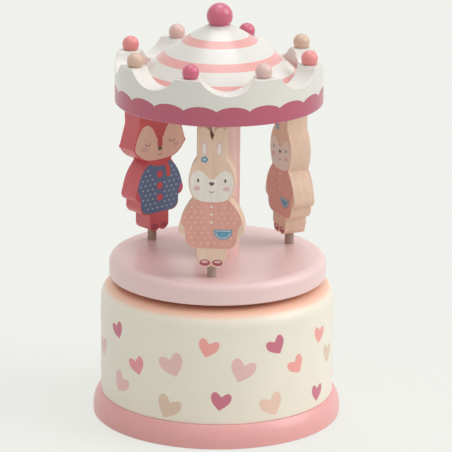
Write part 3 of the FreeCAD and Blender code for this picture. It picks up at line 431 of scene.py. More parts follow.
def lathe_grid(outline, around=160, centre=(0.0, 0.0)):
    """Points (radius cos, radius sin, height) and faces of an outline turned about an upright axis."""
    solid = outline[0, 0] < 1e-9
    rows = outline[1:-1] if solid else outline
    angle = np.linspace(0, 2 * np.pi, around, endpoint=False)
    x = centre[0] + rows[:, :1] * np.cos(angle)
    y = centre[1] + rows[:, :1] * np.sin(angle)
    z = np.repeat(rows[:, 1:], around, 1)
    points = np.stack((x, y, z), 2).reshape(-1, 3)
    count = len(rows)
    ring = np.arange(around)
    after = (ring + 1) % around
    row = np.arange(count - 1 if solid else count)[:, None] * around
    above = (row + around) % (count * around)
    quads = np.stack((row + ring, row + after, above + after, above + ring), 2)
    faces = quads.reshape(-1, 4).tolist()
    if solid:
        points = np.concatenate((points, [(*centre, outline[0, 1]), (*centre, outline[-1, 1])]))
        low, last = count * around, (count - 1) * around
        faces += np.stack((after, ring, np.full(around, low)), 1).tolist()
        faces += np.stack((last + ring, last + after, np.full(around, low + 1)), 1).tolist()
    return points, faces


def place_mesh(name, vertices, faces, materials, body, smooth=True):
    """Makes an object from an array of points and a list of faces, and lets it ride on a body."""
    mesh = bpy.data.meshes.new(name)
    mesh.from_pydata(vertices.tolist(), [], faces)
    mesh.polygons.foreach_set("use_smooth", np.full(len(mesh.polygons), smooth))
    for material in materials:
        mesh.materials.append(material)
    piece = bpy.data.objects.new(name, mesh)
    scene.collection.objects.link(piece)
    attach(piece, body)
    return piece


def turned(name, corners, material, body, node, around=160, centre=(0.0, 0.0)):
    """A turned piece that stands for a node of the frame."""
    points, faces = lathe_grid(turned_outline(corners), around, centre)
    piece = place_mesh(name, points, faces, [material], body)
    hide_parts(node)
    print(name, "turned from", len(points), "points")
    return piece


print("a plain dowel has", len(lathe_grid(np.array([(0, 0), (1, 0), (1, 1), (0, 1)]))[1]), "faces")

# %% [markdown]
# ## Plinth
# The base is a pink disc whose side sweeps in to the drum. The sweep is part of a circle that leaves
# the foot straight up. The underside is hollowed by a hair, so that it stands on its rim. The sizes
# are read from the frame, so that the piece fits its solid.

# %% Plinth


def radius_of(node):
    low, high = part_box(node)
    return (high.x - low.x) / 2


def levels_of(node):
    low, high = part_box(node)
    return low.z, high.z


EASED = 0.3 * MM       # the light sanding of an edge that looks sharp
PLINTH_FOOT = 3.5 * MM
PLINTH_LEDGE = 0.8 * MM
FOOT_RIM = 5.0 * MM
FOOT_HOLLOW = 0.3 * MM
FOOT_ROUND = 0.6 * MM
HOLLOW_EASED = 0.1 * MM
plinth_radius = radius_of("base_plinth")
drum_radius = radius_of("drum_shell")
plinth_top, drum_top = levels_of("drum_shell")


def sweep_in(inset, rise, steps=12):
    """Points of a circle that starts upright and gains the inset in its rise.

    Its radius is (inset^2 + rise^2) / (2 inset), and each point has no round of its own.
    """
    radius = (inset ** 2 + rise ** 2) / (2 * inset)
    angle = np.linspace(0, math.atan2(rise, radius - inset), steps + 1)
    return np.stack((radius * (np.cos(angle) - 1), radius * np.sin(angle), 0 * angle), 1)


rim = plinth_radius - FOOT_RIM
ledge = drum_radius + PLINTH_LEDGE
sweep = sweep_in(plinth_radius - ledge, plinth_top - PLINTH_FOOT) + (plinth_radius, PLINTH_FOOT, 0)
sweep[-1, 2] = EASED
plinth_corners = [
    (0, FOOT_HOLLOW, 0), (rim, FOOT_HOLLOW, HOLLOW_EASED), (rim, 0, HOLLOW_EASED),
    (plinth_radius, 0, FOOT_ROUND), *sweep.tolist(), (0, plinth_top, 0),
]
turned("plinth_wood", plinth_corners, plinth_paint, "base", "base_plinth", around=BROAD)

# %% [markdown]
# ## Drum
# The drum is a hollow turning that holds the movement. Its outline is a closed loop: up the outside,
# over the soft shoulder, across the deck to the bush, and back along the cavity. The deck's mark
# tells how far under the turntable's edge a point lies, and there the drum is given a painted shade:
# the turntable's shadow with its warm pink bounce light, laid into the colour.

# %% Drum
DRUM_SHOULDER = 8.0 * MM
DRUM_WALL = 7.5 * MM
DECK_THICKNESS = 8.5 * MM
SHADE_RIM = 1.2 * MM     # the painted shade reaches this far outside the turntable's edge
deck_under = drum_top - DECK_THICKNESS
bush_hole = radius_of("deck_bush") + 0.02 * MM
cavity = drum_radius - DRUM_WALL
middle_wall = (cavity + drum_radius) / 2
drum_corners = [
    (middle_wall, plinth_top, 0), (drum_radius, plinth_top, EASED),
    (drum_radius, drum_top, DRUM_SHOULDER), (bush_hole, drum_top, EASED),
    (bush_hole, deck_under, EASED), (cavity, deck_under, 1 * MM),
    (cavity, plinth_top, EASED), (middle_wall - 0.1 * MM, plinth_top, 0),
]
drum = turned("drum_wood", drum_corners, drum_paint, "base", "drum_shell", around=BROAD)
table_radius = radius_of("turntable")
x, y, z = points_of(drum).T
under_edge = table_radius + SHADE_RIM - np.hypot(x, y)
# Where this mark is positive the drum takes its painted shade, fading over the soft zone.
mark_points(drum, "deck", np.where(z > deck_under, under_edge, -1.0) / MM)

# %% [markdown]
# ## Turntable and column
# The turntable is a disc with a generous round above and a small one below. The column is a plain
# dowel, let into the turntable and the canopy by a millimetre, where nobody sees it end.

# %% Turntable and column
TABLE_TOP_ROUND = 4.0 * MM
TABLE_BOTTOM_ROUND = 1.0 * MM
LET_IN = 1.0 * MM
table_low, table_top = levels_of("turntable")
table_corners = [
    (0, table_low, 0), (table_radius, table_low, TABLE_BOTTOM_ROUND),
    (table_radius, table_top, TABLE_TOP_ROUND), (0, table_top, 0),
]
turned("turntable_wood", table_corners, turntable_paint, "carousel", "turntable",
       around=BROAD)

canopy_under, peak_level = levels_of("canopy_ring")


def dowel(radius, low, high):
    """Corners of a plain round bar with eased ends."""
    return [(0, low, 0), (radius, low, EASED), (radius, high, EASED), (0, high, 0)]


column_corners = dowel(radius_of("column"), table_top - LET_IN, canopy_under + LET_IN)
turned("column_wood", column_corners, column_paint, "carousel", "column")

# %% [markdown]
# ## Canopy
# The canopy is a dish with eight round scoops cut through its wall. It starts as a turned dish. Every
# point above the floor is then let down by the depth of the scoop over it: a scoop is a cylinder
# lying along the radius, so its depth depends only on how far to the side of that radius the point
# is. A boolean cut would do it too, but leaves long thin faces that shade badly.

# %% Canopy dish
PEAKS = 8
FIRST_PEAK = math.radians(-103.35)
SCOOP_RADIUS = 14.8 * MM
SCOOP_DEPTH = 6.7 * MM
CANOPY_WALL = 10.0 * MM
CANOPY_FLOOR = 6.0 * MM
CANOPY_BOTTOM_ROUND = 0.8 * MM
EDGE = 0.45 * MM
canopy_radius = radius_of("canopy_ring")
canopy_inner = canopy_radius - CANOPY_WALL
canopy_floor = canopy_under + CANOPY_FLOOR


def scooped(points):
    """Points of the dish let down into the scoops.

    To the side of a scoop's middle line by t, its floor lies depth - (R - sqrt(R^2 - t^2)) under the
    peaks. The top edge drops by all of that, and the wall under it in proportion to its height.
    """
    x, y, z = points.T
    radius = np.hypot(x, y)
    pitch = 2 * np.pi / PEAKS
    swing = (np.arctan2(y, x) - FIRST_PEAK) % pitch - pitch / 2
    side = np.minimum(np.abs(radius * np.sin(swing)), SCOOP_RADIUS)
    drop = np.maximum(0, SCOOP_DEPTH - SCOOP_RADIUS + np.sqrt(SCOOP_RADIUS ** 2 - side ** 2))
    share = np.clip((z - canopy_floor) / (peak_level - 1 * MM - canopy_floor), 0, 1)
    share = np.where(radius > canopy_inner - 1e-6, share, 0)
    return np.stack((x, y, z - drop * share), 1)


dish = turned_outline([
    (0, canopy_under, 0), (canopy_radius, canopy_under, CANOPY_BOTTOM_ROUND),
    (canopy_radius, canopy_floor, 0), (canopy_radius, peak_level, EDGE),
    (canopy_radius - CANOPY_WALL / 3, peak_level, 0), (canopy_inner + CANOPY_WALL / 3, peak_level, 0),
    (canopy_inner, peak_level, EDGE), (canopy_inner, canopy_floor, EDGE), (0, canopy_floor, 0),
])
dish_points, dish_faces = lathe_grid(dish, 96 * PEAKS)
canopy = place_mesh("canopy_wood", scooped(dish_points), dish_faces, [canopy_paint], "carousel")
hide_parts("canopy_ring")
print("canopy:", len(dish_points), "points")

# %% [markdown]
# ## Scallops
# A band of plum scallops runs round the canopy's foot. Each scallop is a flattened parabola between
# two cusps, and the mark is the height from a point up to that line. Only the outside is marked, so
# the underside stays white.

# %% Scalloped band
SCALLOPS = 20
FIRST_CUSP = math.radians(-87.35)
CUSP_LEVEL = 6.8 * MM
SCALLOP_RISE = 2.3 * MM


def below_scallops(points):
    """Millimetres below the scalloped line, which rises by (4 s (1 - s)) ^ 0.75 between its cusps."""
    x, y, z = points.T
    across = ((np.arctan2(y, x) - FIRST_CUSP) * SCALLOPS / (2 * np.pi)) % 1.0
    line = canopy_under + CUSP_LEVEL + SCALLOP_RISE * (4 * across * (1 - across)) ** 0.75
    outside = np.hypot(x, y) > canopy_radius - CANOPY_BOTTOM_ROUND
    return np.where(outside, line - z, -1 * MM) / MM


mark_points(canopy, "band", below_scallops(points_of(canopy)))

# %% [markdown]
# ## Dome
# The dome inside the canopy is a cone whose side swells slightly, with three pink rings painted on
# while it still turned on the lathe. Its side is an arc through three points. The rings depend only
# on the distance from the axis, so their mark is how deep a point lies inside the nearest ring.

# %% Dome
DOME_RIM = 6.35 * MM
DOME_BULGE = 1.3 * MM
DOME_TOP_RADIUS = 5.0 * MM
RING_EDGES = [(13.4 * MM, 17.5 * MM), (24.8 * MM, 28.6 * MM), (34.3 * MM, 39.0 * MM)]


def arc_through(first, via, last, steps):
    """Arc through three points. Its centre is where the bisectors of the two chords meet."""
    a, b, c = (np.array(p, float) for p in (first, via, last))
    sides = 2 * np.array([b - a, c - a])
    centre = np.linalg.solve(sides, np.array([b @ b - a @ a, c @ c - a @ a]))
    start, through, end = (np.arctan2(*(p - centre)[::-1]) for p in (a, b, c))
    way = (end - start) % (2 * np.pi)
    if (through - start) % (2 * np.pi) > way:
        way -= 2 * np.pi
    angle = start + way * np.linspace(0, 1, steps + 1)
    radius = np.linalg.norm(a - centre)
    return centre + radius * np.stack((np.cos(angle), np.sin(angle)), 1)


def inside_rings(points):
    """Millimetres inside the nearest painted ring, negative outside all of them."""
    radius = np.hypot(points[:, 0], points[:, 1])
    depth = np.max([np.minimum(radius - low, high - radius) for low, high in RING_EDGES], 0)
    return np.where(points[:, 2] < canopy_floor + 1 * MM, -1.0, depth / MM)


dome_radius = radius_of("canopy_dome")
dome_top = levels_of("canopy_dome")[1]
rim_level = canopy_floor + DOME_RIM
run = dome_radius - DOME_TOP_RADIUS
rise = dome_top - rim_level
out = DOME_BULGE / math.hypot(run, rise)
swell = (dome_radius - run / 2 + out * rise, rim_level + rise / 2 + out * run)
rim_point = (dome_radius - EASED, rim_level + EASED / 2)
side = arc_through(rim_point, swell, (DOME_TOP_RADIUS, dome_top), 56)
foot = [(0, canopy_floor, 0), (dome_radius, canopy_floor, EASED), (dome_radius, rim_level - EASED, 0)]
dome_outline = np.concatenate((turned_outline(foot), side, [(0, dome_top)]))
dome = place_mesh("dome_wood", *lathe_grid(dome_outline, 200), [dome_paint], "carousel")
mark_points(dome, "rings", inside_rings(points_of(dome)))
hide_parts("canopy_dome")

# %% [markdown]
# ## Balls
# The finial and the eight beads are bought wooden balls with a flat sanded under each, where they
# are glued down on a pin. The outline is the flat, then an arc of the ball up to its top.

# %% Finial and beads


def middle_of(node):
    low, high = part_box(node)
    return (low.x + high.x) / 2, (low.y + high.y) / 2


def seated_ball(name, node, material, slot, around):
    """Ball on a flat: the arc starts where the flat cuts the ball and ends at its top."""
    low, high = levels_of(node)
    radius = radius_of(node)
    centre = high - radius
    angle = np.linspace(math.asin((low - centre) / radius), math.pi / 2, 36)
    arc = np.stack((radius * np.cos(angle), centre + radius * np.sin(angle)), 1)
    outline = np.concatenate(([(0, low)], arc[:-1], [(0, high)]))
    ball = place_mesh(name, *lathe_grid(outline, around, middle_of(node)), [material], "carousel")
    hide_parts(node)


seated_ball("finial_wood", "finial_ball", finial_paint, "plum", 96)
bead_paints = [
    (plum_paint, "plum"), (pale_paint, "pale_pink"), (coral_paint, "coral"), (tan_paint, "tan"),
]
for number in range(PEAKS):
    node = "bead_%d" % (number + 1)
    seated_ball(node + "_wood", node, *bead_paints[number % len(bead_paints)], 64)
print("finial and", PEAKS, "beads seated")

# %% [markdown]
# ## Bare wood
# The rabbits are beech board left bare at the edges, and the pegs are grey-brown dowels. Wood shows
# long pale and dark streaks along the grain. A noise stretched along Z gives the streaks, a finer
# one the pores, and together they are also the relief.

# %% Bare wood
GRAIN = (330.0, 330.0, 26.0)
PORES = (1800.0, 1800.0, 110.0)
PORE_SHARE = 0.35


def rough_between(tree, shader, factor, low, high):
    """Roughness from low to high as a grey value goes from 0 to 1."""
    spread = put(tree, "ShaderNodeMapRange", {"Value": factor, "To Min": low, "To Max": high})
    tree.links.new(spread.outputs["Result"], shader.inputs["Roughness"])


def bare_wood(name, pale, dark):
    """Two tones of wood, blended by streaks and by a third as much of the pores."""
    material, tree, shader, place = blank(name)
    streaks = along_grain(tree, place, GRAIN, 5.0, Distortion=0.6)
    pores = along_grain(tree, place, PORES, 2.0)
    mixed = calculated(tree, "MULTIPLY_ADD", pores, PORE_SHARE, streaks)
    colour = ramp(tree, mixed, [(0.42, light_level(*dark)), (0.86, light_level(*pale))])
    tree.links.new(colour, shader.inputs["Base Color"])
    raised_by(tree, shader, mixed, 0.15)
    rough_between(tree, shader, streaks, 0.42, 0.67)
    return material


board_wood = bare_wood("board_wood", (239, 208, 186), (226, 191, 167))
peg_wood = bare_wood("peg_wood", (192, 172, 158), (166, 144, 132))
for node in ("peg_rabbit_front", "peg_rabbit_side", "peg_fox"):
    corners = dowel(radius_of(node), *levels_of(node))
    turned(node + "_wood", corners, peg_wood, "carousel", node, 48, middle_of(node))

# %% [markdown]
# ## Figure outlines
# The animals are sawn from thick board. Each outline is drawn for the right half, from the foot to
# the crown, and mirrored. A step is a point, or a point on the way and an end for an arc. Lengths
# here are in millimetres, from the middle of the feet.

# %% Figure outlines
RABBIT = [
    ((3.54, 0.0), (5.9, 2.6)), (5.9, 3.6), (6.7, 4.4), (6.7, 8.7), (7.9, 8.7),
    ((10.7, 10.4), (11.8, 13.9)), (11.8, 14.9), ((14.0, 15.7), (14.9, 18.1)),
    ((12.3, 25.7), (7.75, 31.2)), ((10.5, 40.8), (6.6, 50.4)), (6.6, 62.45),
    ((3.75, 65.3), (0.96, 61.87)), (0.0, 59.3),
]
FOX = [
    ((3.42, 0.0), (5.7, 2.6)), (5.7, 8.5), (7.3, 8.5), ((10.7, 9.9), (11.6, 13.5)), (11.6, 15.2),
    ((13.7, 16.2), (14.6, 18.6)), ((11.6, 26.6), (6.4, 34.0)), ((12.0, 36.3), (15.3, 39.9)),
    ((16.0, 40.9), (15.5, 42.1)), (12.4, 51.6), (13.0, 63.8), ((12.6, 65.0), (11.5, 64.5)),
    (5.2, 57.2), (0.0, 57.2),
]
NOTCH = (0.0, 0.9)


def board_outline(steps):
    """Closed outline, anticlockwise: the right half from the notch at the feet, then its mirror."""
    runs, here = [np.array([NOTCH])], NOTCH
    for step in steps:
        curved = isinstance(step[0], tuple)
        runs.append(arc_through(here, *step, 14)[1:] if curved else np.array([step]))
        here = step[1] if curved else step
    right = np.concatenate(runs)
    return np.concatenate((right, right[-2:0:-1] * (-1, 1)))


print("outline points: rabbit", len(board_outline(RABBIT)), "fox", len(board_outline(FOX)))

# %% [markdown]
# ## Figure boards
# A board is its outline carried straight through the thickness, stood on its peg and turned to face
# along the radius. A small bevel eases the sawn edges: its hardened normals keep the broad faces flat.

# %% Figure boards
BOARD = 10.6
BOARD_EASE = 0.45 * MM
FIGURE_CIRCLE = 37.1
FEET = levels_of("figure_fox")[0] / MM
PLACES = {"rabbit_front": (-90.0, 0.0), "rabbit_side": (30.0, 0.0), "fox": (150.0, -14.0)}


def standing(points, place):
    """Carries millimetres (across, depth, height) to a figure's place on the turntable, in metres."""
    angle, twist = (math.radians(a) for a in PLACES[place])
    turn = angle + math.pi / 2 + twist
    across, depth, height = np.asarray(points).T
    x = across * math.cos(turn) - depth * math.sin(turn) + FIGURE_CIRCLE * math.cos(angle)
    y = across * math.sin(turn) + depth * math.cos(turn) + FIGURE_CIRCLE * math.sin(angle)
    return np.stack((x, y, height + FEET), 1) * MM


def slab(outline, near, far):
    """Prism over an outline: its near face looks to -Y, its far face to +Y, and quads join them."""
    count = len(outline)
    depth = np.repeat((near, far), count)
    points = np.stack((np.tile(outline[:, 0], 2), depth, np.tile(outline[:, 1], 2)), 1)
    here = np.arange(count)
    after = (here + 1) % count
    sides = np.stack((here, here + count, after + count, after), 1).tolist()
    return points, [here.tolist(), (here[::-1] + count).tolist()] + sides


def sawn_board(place, steps, material):
    points, faces = slab(board_outline(steps), -BOARD / 2, BOARD / 2)
    board = place_mesh(place + "_board", standing(points, place), faces, [material], "carousel")
    ease = board.modifiers.new("eased_edges", "BEVEL")
    ease.width = BOARD_EASE
    ease.segments = 3
    ease.limit_method = "ANGLE"
    ease.angle_limit = math.radians(50)
    ease.harden_normals = True
    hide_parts("figure_" + place)
    print(board.name, "sawn")


BRUSHED = (260.0, 260.0, 30.0)
fox_paint = painted("fox_paint", (215, 98, 104), 0.42, 0.08, BRUSHED, 0.04)
sawn_board("rabbit_front", RABBIT, board_wood)
sawn_board("rabbit_side", RABBIT, board_wood)
sawn_board("fox", FOX, fox_paint)

# %% [markdown]
# ## Printed inks
# The animals' clothes and faces are screen-printed on both broad faces. Ink is matter than the
# paint, and the board's grain shows through it, so each ink has streaks along Z in its colour and
# its surface.

# %% Inks
INKS = {
    "salmon_ink": (226, 164, 150), "blush_ink": (240, 208, 194), "cream_ink": (237, 227, 216),
    "teal_ink": (98, 154, 180), "rose_ink": (228, 188, 186), "brown_ink": (112, 94, 84),
    "plum_ink": (178, 84, 98), "slate_ink": (104, 132, 170), "peach_ink": (246, 210, 192),
    "coral_ink": (224, 98, 100), "red_ink": (208, 94, 96), "pink_ink": (228, 100, 124),
    "mist_ink": (206, 218, 232),
}
INK_GRAIN = (420.0, 420.0, 60.0)


def ink(name, colour):
    material, tree, shader, place = blank(name)
    grain = along_grain(tree, place, INK_GRAIN, 4.0)
    level = light_level(*colour)
    worn = ramp(tree, grain, [(0.3, shade(level, 0.94)), (0.7, shade(level, 1.05))])
    tree.links.new(worn, shader.inputs["Base Color"])
    raised_by(tree, shader, grain, 0.10)
    rough_between(tree, shader, grain, 0.42, 0.62)
    return material


inks = {name: ink(name, colour) for name, colour in INKS.items()}
print("inks:", ", ".join(inks))

# %% [markdown]
# ## Shapes to print with
# A few simple curves draw everything: ovals, ribbons of even width along a line, and given
# outlines whose corners are cut off a few times over until they look drawn.

# %% Printing shapes


def oval(x, z, wide, high, tilt=0.0, count=40):
    """Ellipse about (x, z), turned by the tilt."""
    t = np.linspace(0, 2 * np.pi, count, endpoint=False)
    a, b, lean = wide * np.cos(t), high * np.sin(t), math.radians(tilt)
    across = a * math.cos(lean) - b * math.sin(lean)
    upward = a * math.sin(lean) + b * math.cos(lean)
    return np.stack((x + across, z + upward), 1)


def drawn(points, rounds=3):
    """Closed outline whose corners are cut a few times, at a quarter of the sides that meet there."""
    outline = np.array(points, float)
    for _ in range(rounds):
        after = np.roll(outline, -1, 0)
        cuts = (0.75 * outline + 0.25 * after, 0.25 * outline + 0.75 * after)
        outline = np.stack(cuts, 1).reshape(-1, 2)
    return outline


def both_sides(right):
    """Whole outline from the points of its right half, bottom to top."""
    right = np.array(right, float)
    return np.concatenate((right, right[::-1] * (-1, 1)))


def ribbon(line, width):
    """Strip of even width along a line: the line pushed half the width to each side."""
    line = np.array(line, float)
    way = np.gradient(line, axis=0)
    across = np.stack((-way[:, 1], way[:, 0]), 1) / np.linalg.norm(way, axis=1)[:, None] * width / 2
    return np.concatenate((line - across, (line + across)[::-1]))


def bow(x, z, radius, first, last, count=14):
    """Points of an arc, for ribbons."""
    t = np.radians(np.linspace(first, last, count))
    return np.stack((x + radius * np.cos(t), z + radius * np.sin(t)), 1)


print("an oval of 40 points, drawn outlines of 8 for each corner")

# %% [markdown]
# ## Dotted cloth
# Dots lie on a staggered grid and stay only where they fit inside a garment, clear of its buttons.
# A point is inside an outline if a line from it to the right crosses the outline an odd number of
# times, which numpy can count for all points and all edges at once.

# %% Dots


def inside(points, outline):
    """True for points inside an outline, by counting the edges that a ray to the right crosses."""
    a, b = outline[None], np.roll(outline, -1, 0)[None]
    x, z = points[:, :1], points[:, 1:]
    spans = (a[..., 1] > z) != (b[..., 1] > z)
    height = np.where(b[..., 1] == a[..., 1], 1e-12, b[..., 1] - a[..., 1])
    crossing = a[..., 0] + (z - a[..., 1]) * (b[..., 0] - a[..., 0]) / height
    return (spans & (x < crossing)).sum(1) % 2 == 1


def dots(outline, keep_off, radius, pitch):
    """Ovals on a staggered grid, where they fit inside the outline and off the given shapes."""
    rows = np.arange(outline[:, 1].min(), outline[:, 1].max(), pitch * 0.8)
    columns = np.arange(-12, 13) * pitch
    shift = (np.arange(len(rows)) % 2)[:, None] * pitch / 2
    grid = np.stack(np.broadcast_arrays(columns + shift, rows[:, None]), 2).reshape(-1, 2)
    ring = oval(0, 0, radius * 1.9, radius * 1.9, count=8)
    fits = np.all([inside(grid + r, outline) for r in ring], 0)
    for shape in keep_off:
        fits &= ~np.any([inside(grid + r, shape) for r in ring], 0)
    return [oval(x, z, radius, radius, count=12) for x, z in grid[fits]]


print("dots on a square of 12 mm:", len(dots(oval(0, 0, 6, 6), [], 0.3, 3.0)))

# %% [markdown]
# ## Printing
# A print is a set of flat shapes, each a very thin slab, and the shapes printed later stand a few
# hundredths of a millimetre higher. All shapes of one figure are joined into one piece, with an ink
# for each face, and the same print is turned round for the other side of the board.

# %% Printing
LAYER = 0.035
SUNK = 0.1
SIDES = (-1, 1)
TURN_ROUND = (-1, -1, 1)


def anticlockwise(outline):
    """The outline in the order that makes its shoelace sum positive."""
    after = np.roll(outline, -1, 0)
    area = np.sum(outline[:, 0] * after[:, 1] - outline[:, 1] * after[:, 0])
    return outline if area > 0 else outline[::-1]


def printed(name, place, shapes):
    """Joins (ink, layer, outline) shapes on both broad faces of a figure into one piece."""
    names = sorted({shape[0] for shape in shapes})
    points, faces, colours, start = [], [], [], 0
    broad = -BOARD / 2
    for ink_name, layer, outline in shapes:
        front, sheet_faces = slab(anticlockwise(outline), broad - LAYER * layer, broad + SUNK)
        for face_points in (front, front * TURN_ROUND):
            points.append(face_points)
            faces += [[corner + start for corner in face] for face in sheet_faces]
            colours += [names.index(ink_name)] * len(sheet_faces)
            start += len(face_points)
    vertices = standing(np.concatenate(points), place)
    piece = place_mesh(name, vertices, faces, [inks[n] for n in names], "carousel", False)
    piece.data.polygons.foreach_set("material_index", colours)
    print(name, "has", len(faces), "faces")


print("each layer of ink is", LAYER, "mm thick")

# %% [markdown]
# ## Rabbit print
# A soft-faced rabbit: a pale mask with a peak of brown fur between the eyes, small oval eyes, rosy
# cheeks, and a salmon dress with fine dots, three buttons and one blue pocket.

# %% Rabbit print
DRESS = [(4.0, 8.9), (8.2, 8.9), (10.9, 10.6), (11.6, 14.0), (11.7, 16.6), (12.4, 19.0), (13.9, 20.8),
         (13.2, 23.8), (11.6, 27.0), (9.2, 30.2), (6.6, 32.4), (3.0, 33.0)]
MASK = [(3.2, 30.6), (6.9, 31.5), (9.2, 35.2), (10.1, 39.6), (9.2, 43.6), (6.4, 45.7), (3.4, 44.4),
        (1.4, 41.2)]
FLOWER = (-3.3, 50.3)
PETALS = 5


def rabbit_clothes():
    dress = drawn(both_sides(DRESS))
    pocket = np.concatenate((bow(5.2, 17.4, 4.2, 180, 360, 24), [(9.2, 17.9), (1.2, 17.9)]))
    buttons = [oval(0, z, 0.6, 0.6, count=20) for z in (28.4, 24.8, 21.2)]
    shapes = [
        ("salmon_ink", 1, dress), ("teal_ink", 2, pocket),
        ("cream_ink", 3, ribbon(bow(5.2, 17.2, 3.3, 190, 350, 20), 0.26)),
        ("cream_ink", 3, ribbon([(1.6, 17.3), (5.2, 17.3), (8.8, 17.3)], 0.3)),
    ]
    shapes += [("cream_ink", 2, button) for button in buttons]
    free = [pocket, oval(0, 31.5, 9, 3.0), oval(0, 24.8, 1.4, 6)]
    return shapes + [("blush_ink", 2, dot) for dot in dots(dress, free, 0.34, 3.0)]


def rabbit_face():
    shapes = [
        ("cream_ink", 4, drawn(both_sides(MASK))),
        ("brown_ink", 5, drawn([(-1.8, 39.9), (1.8, 39.9), (0, 37.7)])),
        ("brown_ink", 5, ribbon(bow(0, 36.4, 1.3, 205, 335), 0.24)),
    ]
    for side in SIDES:
        shapes += [
            ("brown_ink", 5, oval(side * 6.1, 40.6, 0.5, 0.95, side * -6)),
            ("rose_ink", 5, oval(side * 6.6, 36.9, 1.6, 1.0)),
            ("rose_ink", 1, oval(side * 3.35, 55.4, 1.35, 3.5, side * -4)),
            ("cream_ink", 2, oval(side * 3.35, 55.2, 0.9, 2.8, side * -4)),
        ]
    return shapes


def rabbit_trim():
    """Shoes with a pale opening, and a little flower of five petals by the ear."""
    shapes = []
    for side in SIDES:
        shapes.append(("plum_ink", 1, oval(side * 2.85, 2.2, 2.4, 1.5)))
        shapes.append(("rose_ink", 2, oval(side * 2.95, 2.65, 1.5, 0.6)))
    for number, angle in enumerate(np.arange(PETALS) * 2 * np.pi / PETALS):
        x, z = FLOWER[0] + 0.95 * math.cos(angle), FLOWER[1] + 0.95 * math.sin(angle)
        shapes.append(("teal_ink", 1 + number % 2, oval(x, z, 0.66, 0.66, count=16)))
    return shapes + [("cream_ink", 4, oval(*FLOWER, 0.5, 0.5, count=16))]


for place in ("rabbit_front", "rabbit_side"):
    printed(place + "_print", place, rabbit_clothes() + rabbit_face() + rabbit_trim())

# %% [markdown]
# ## Fox print
# The fox is painted red all over, then printed: pale cheeks on both sides of a red blaze, closed
# eyes, a slate-blue coat with dots and three round buttons, a scarf and mittens.

# %% Fox print
COAT = [(3.0, 8.8), (7.6, 8.7), (10.6, 10.2), (11.4, 13.6), (11.5, 16.4), (12.2, 18.6), (13.7, 20.6),
        (12.9, 23.8), (11.2, 27.6), (8.8, 31.0), (6.0, 32.8), (3.0, 32.4)]
CHEEKS = [(3.0, 34.2), (7.6, 34.6), (12.2, 37.0), (15.4, 40.4), (14.6, 43.2), (12.8, 48.0),
          (10.0, 51.4), (6.2, 51.4), (3.4, 48.0), (1.9, 44.0)]
BUTTON_LEVELS = (27.0, 21.4, 15.8)


def fox_clothes():
    coat = drawn(both_sides(COAT))
    tail = ribbon([(3.6, 32.4), (4.6, 29.9), (5.2, 27.4), (5.4, 25.0)], 2.4)
    scarf = ribbon(bow(0, 41.6, 9.4, 226, 314, 20), 2.4)
    shapes = [("slate_ink", 1, coat), ("coral_ink", 2, tail), ("coral_ink", 3, scarf)]
    shapes += [("coral_ink", 2, oval(0, z, 1.7, 1.7, count=28)) for z in BUTTON_LEVELS]
    free = [tail, oval(0, 32.5, 8, 3.4)] + [oval(0, z, 2.3, 2.3) for z in BUTTON_LEVELS]
    return shapes + [("mist_ink", 2, dot) for dot in dots(coat, free, 0.42, 2.9)]


def fox_face():
    shapes = [
        ("peach_ink", 4, drawn(both_sides(CHEEKS))), ("red_ink", 5, oval(0, 42.4, 1.5, 3.2)),
        ("brown_ink", 6, oval(0, 39.4, 1.25, 0.85)),
        ("brown_ink", 5, ribbon(bow(0, 37.3, 1.0, 210, 330), 0.24)),
    ]
    for side in SIDES:
        shapes += [
            ("brown_ink", 5, ribbon(bow(side * 7.4, 43.6, 1.9, 200, 340), 0.32)),
            ("rose_ink", 5, oval(side * 9.6, 40.2, 1.6, 1.0)),
            ("plum_ink", 1, drawn([(side * 7.4, 57.0), (side * 11.3, 54.6), (side * 11.7, 62.4)])),
            ("pink_ink", 2, oval(side * 13.2, 18.5, 0.95, 1.7, side * -12)),
            ("plum_ink", 1, oval(side * 2.8, 2.1, 2.2, 1.4)),
        ]
    return shapes


printed("fox_print", "fox", fox_clothes() + fox_face())

# %% [markdown]
# ## Where the hearts go
# Small hearts in six colours are scattered round the drum, tilted this way and that. The front half
# is listed heart by heart, and the back half repeats it.

# %% Heart places
HEART_PAINTS = [
    ("plum_heart", (210, 118, 138)), ("coral_heart", (247, 168, 160)), ("pale_heart", (239, 194, 190)),
    ("tan_heart", (231, 202, 178)), ("rose_heart", (238, 154, 160)), ("peach_heart", (244, 208, 188)),
]
PLUM, CORAL, PALE_PINK, TAN, ROSE, PEACH = range(len(HEART_PAINTS))
HALF_ROUND = [      # angle from the front, height above the plinth, width, tilt, paint
    (-57.1, 36.6, 8.4, 22, PLUM), (-4.2, 36.2, 9.4, -15, CORAL), (30.0, 35.4, 9.3, 27, PLUM),
    (60.1, 34.5, 8.6, -8, CORAL), (-75.5, 23.7, 10.0, 8, PALE_PINK), (-42.2, 23.0, 9.2, 22, ROSE),
    (-21.9, 26.7, 11.8, 22, PALE_PINK), (12.4, 25.2, 11.8, -20, PALE_PINK), (42.2, 24.0, 9.2, 30, CORAL),
    (70.4, 22.8, 9.6, -8, TAN), (-54.2, 11.9, 10.6, -30, PALE_PINK), (-24.0, 6.4, 11.6, -22, TAN),
    (2.0, 11.0, 9.4, -10, PLUM), (28.0, 7.4, 11.4, 22, PEACH), (58.6, 6.9, 8.7, -6, PLUM),
    (-92.0, 9.0, 8.4, 14, CORAL), (92.0, 35.4, 8.8, 18, ROSE),
]
heart_rows = HALF_ROUND + [(row[0] + 180, *row[1:]) for row in HALF_ROUND]
print(len(heart_rows), "hearts to stencil")

# %% [markdown]
# ## Heart shape
# The heart follows a well-known curve, x = 16 sin(t) |sin(t)|^p and
# y = 13 cos(t) - 5 cos(2t) - 2 cos(3t) - cos(4t), where a power p below 1 blunts the tip. It is filled
# by rings from its middle, and a sunk copy of its rim and a point below close it, so that each patch
# is a thin solid.

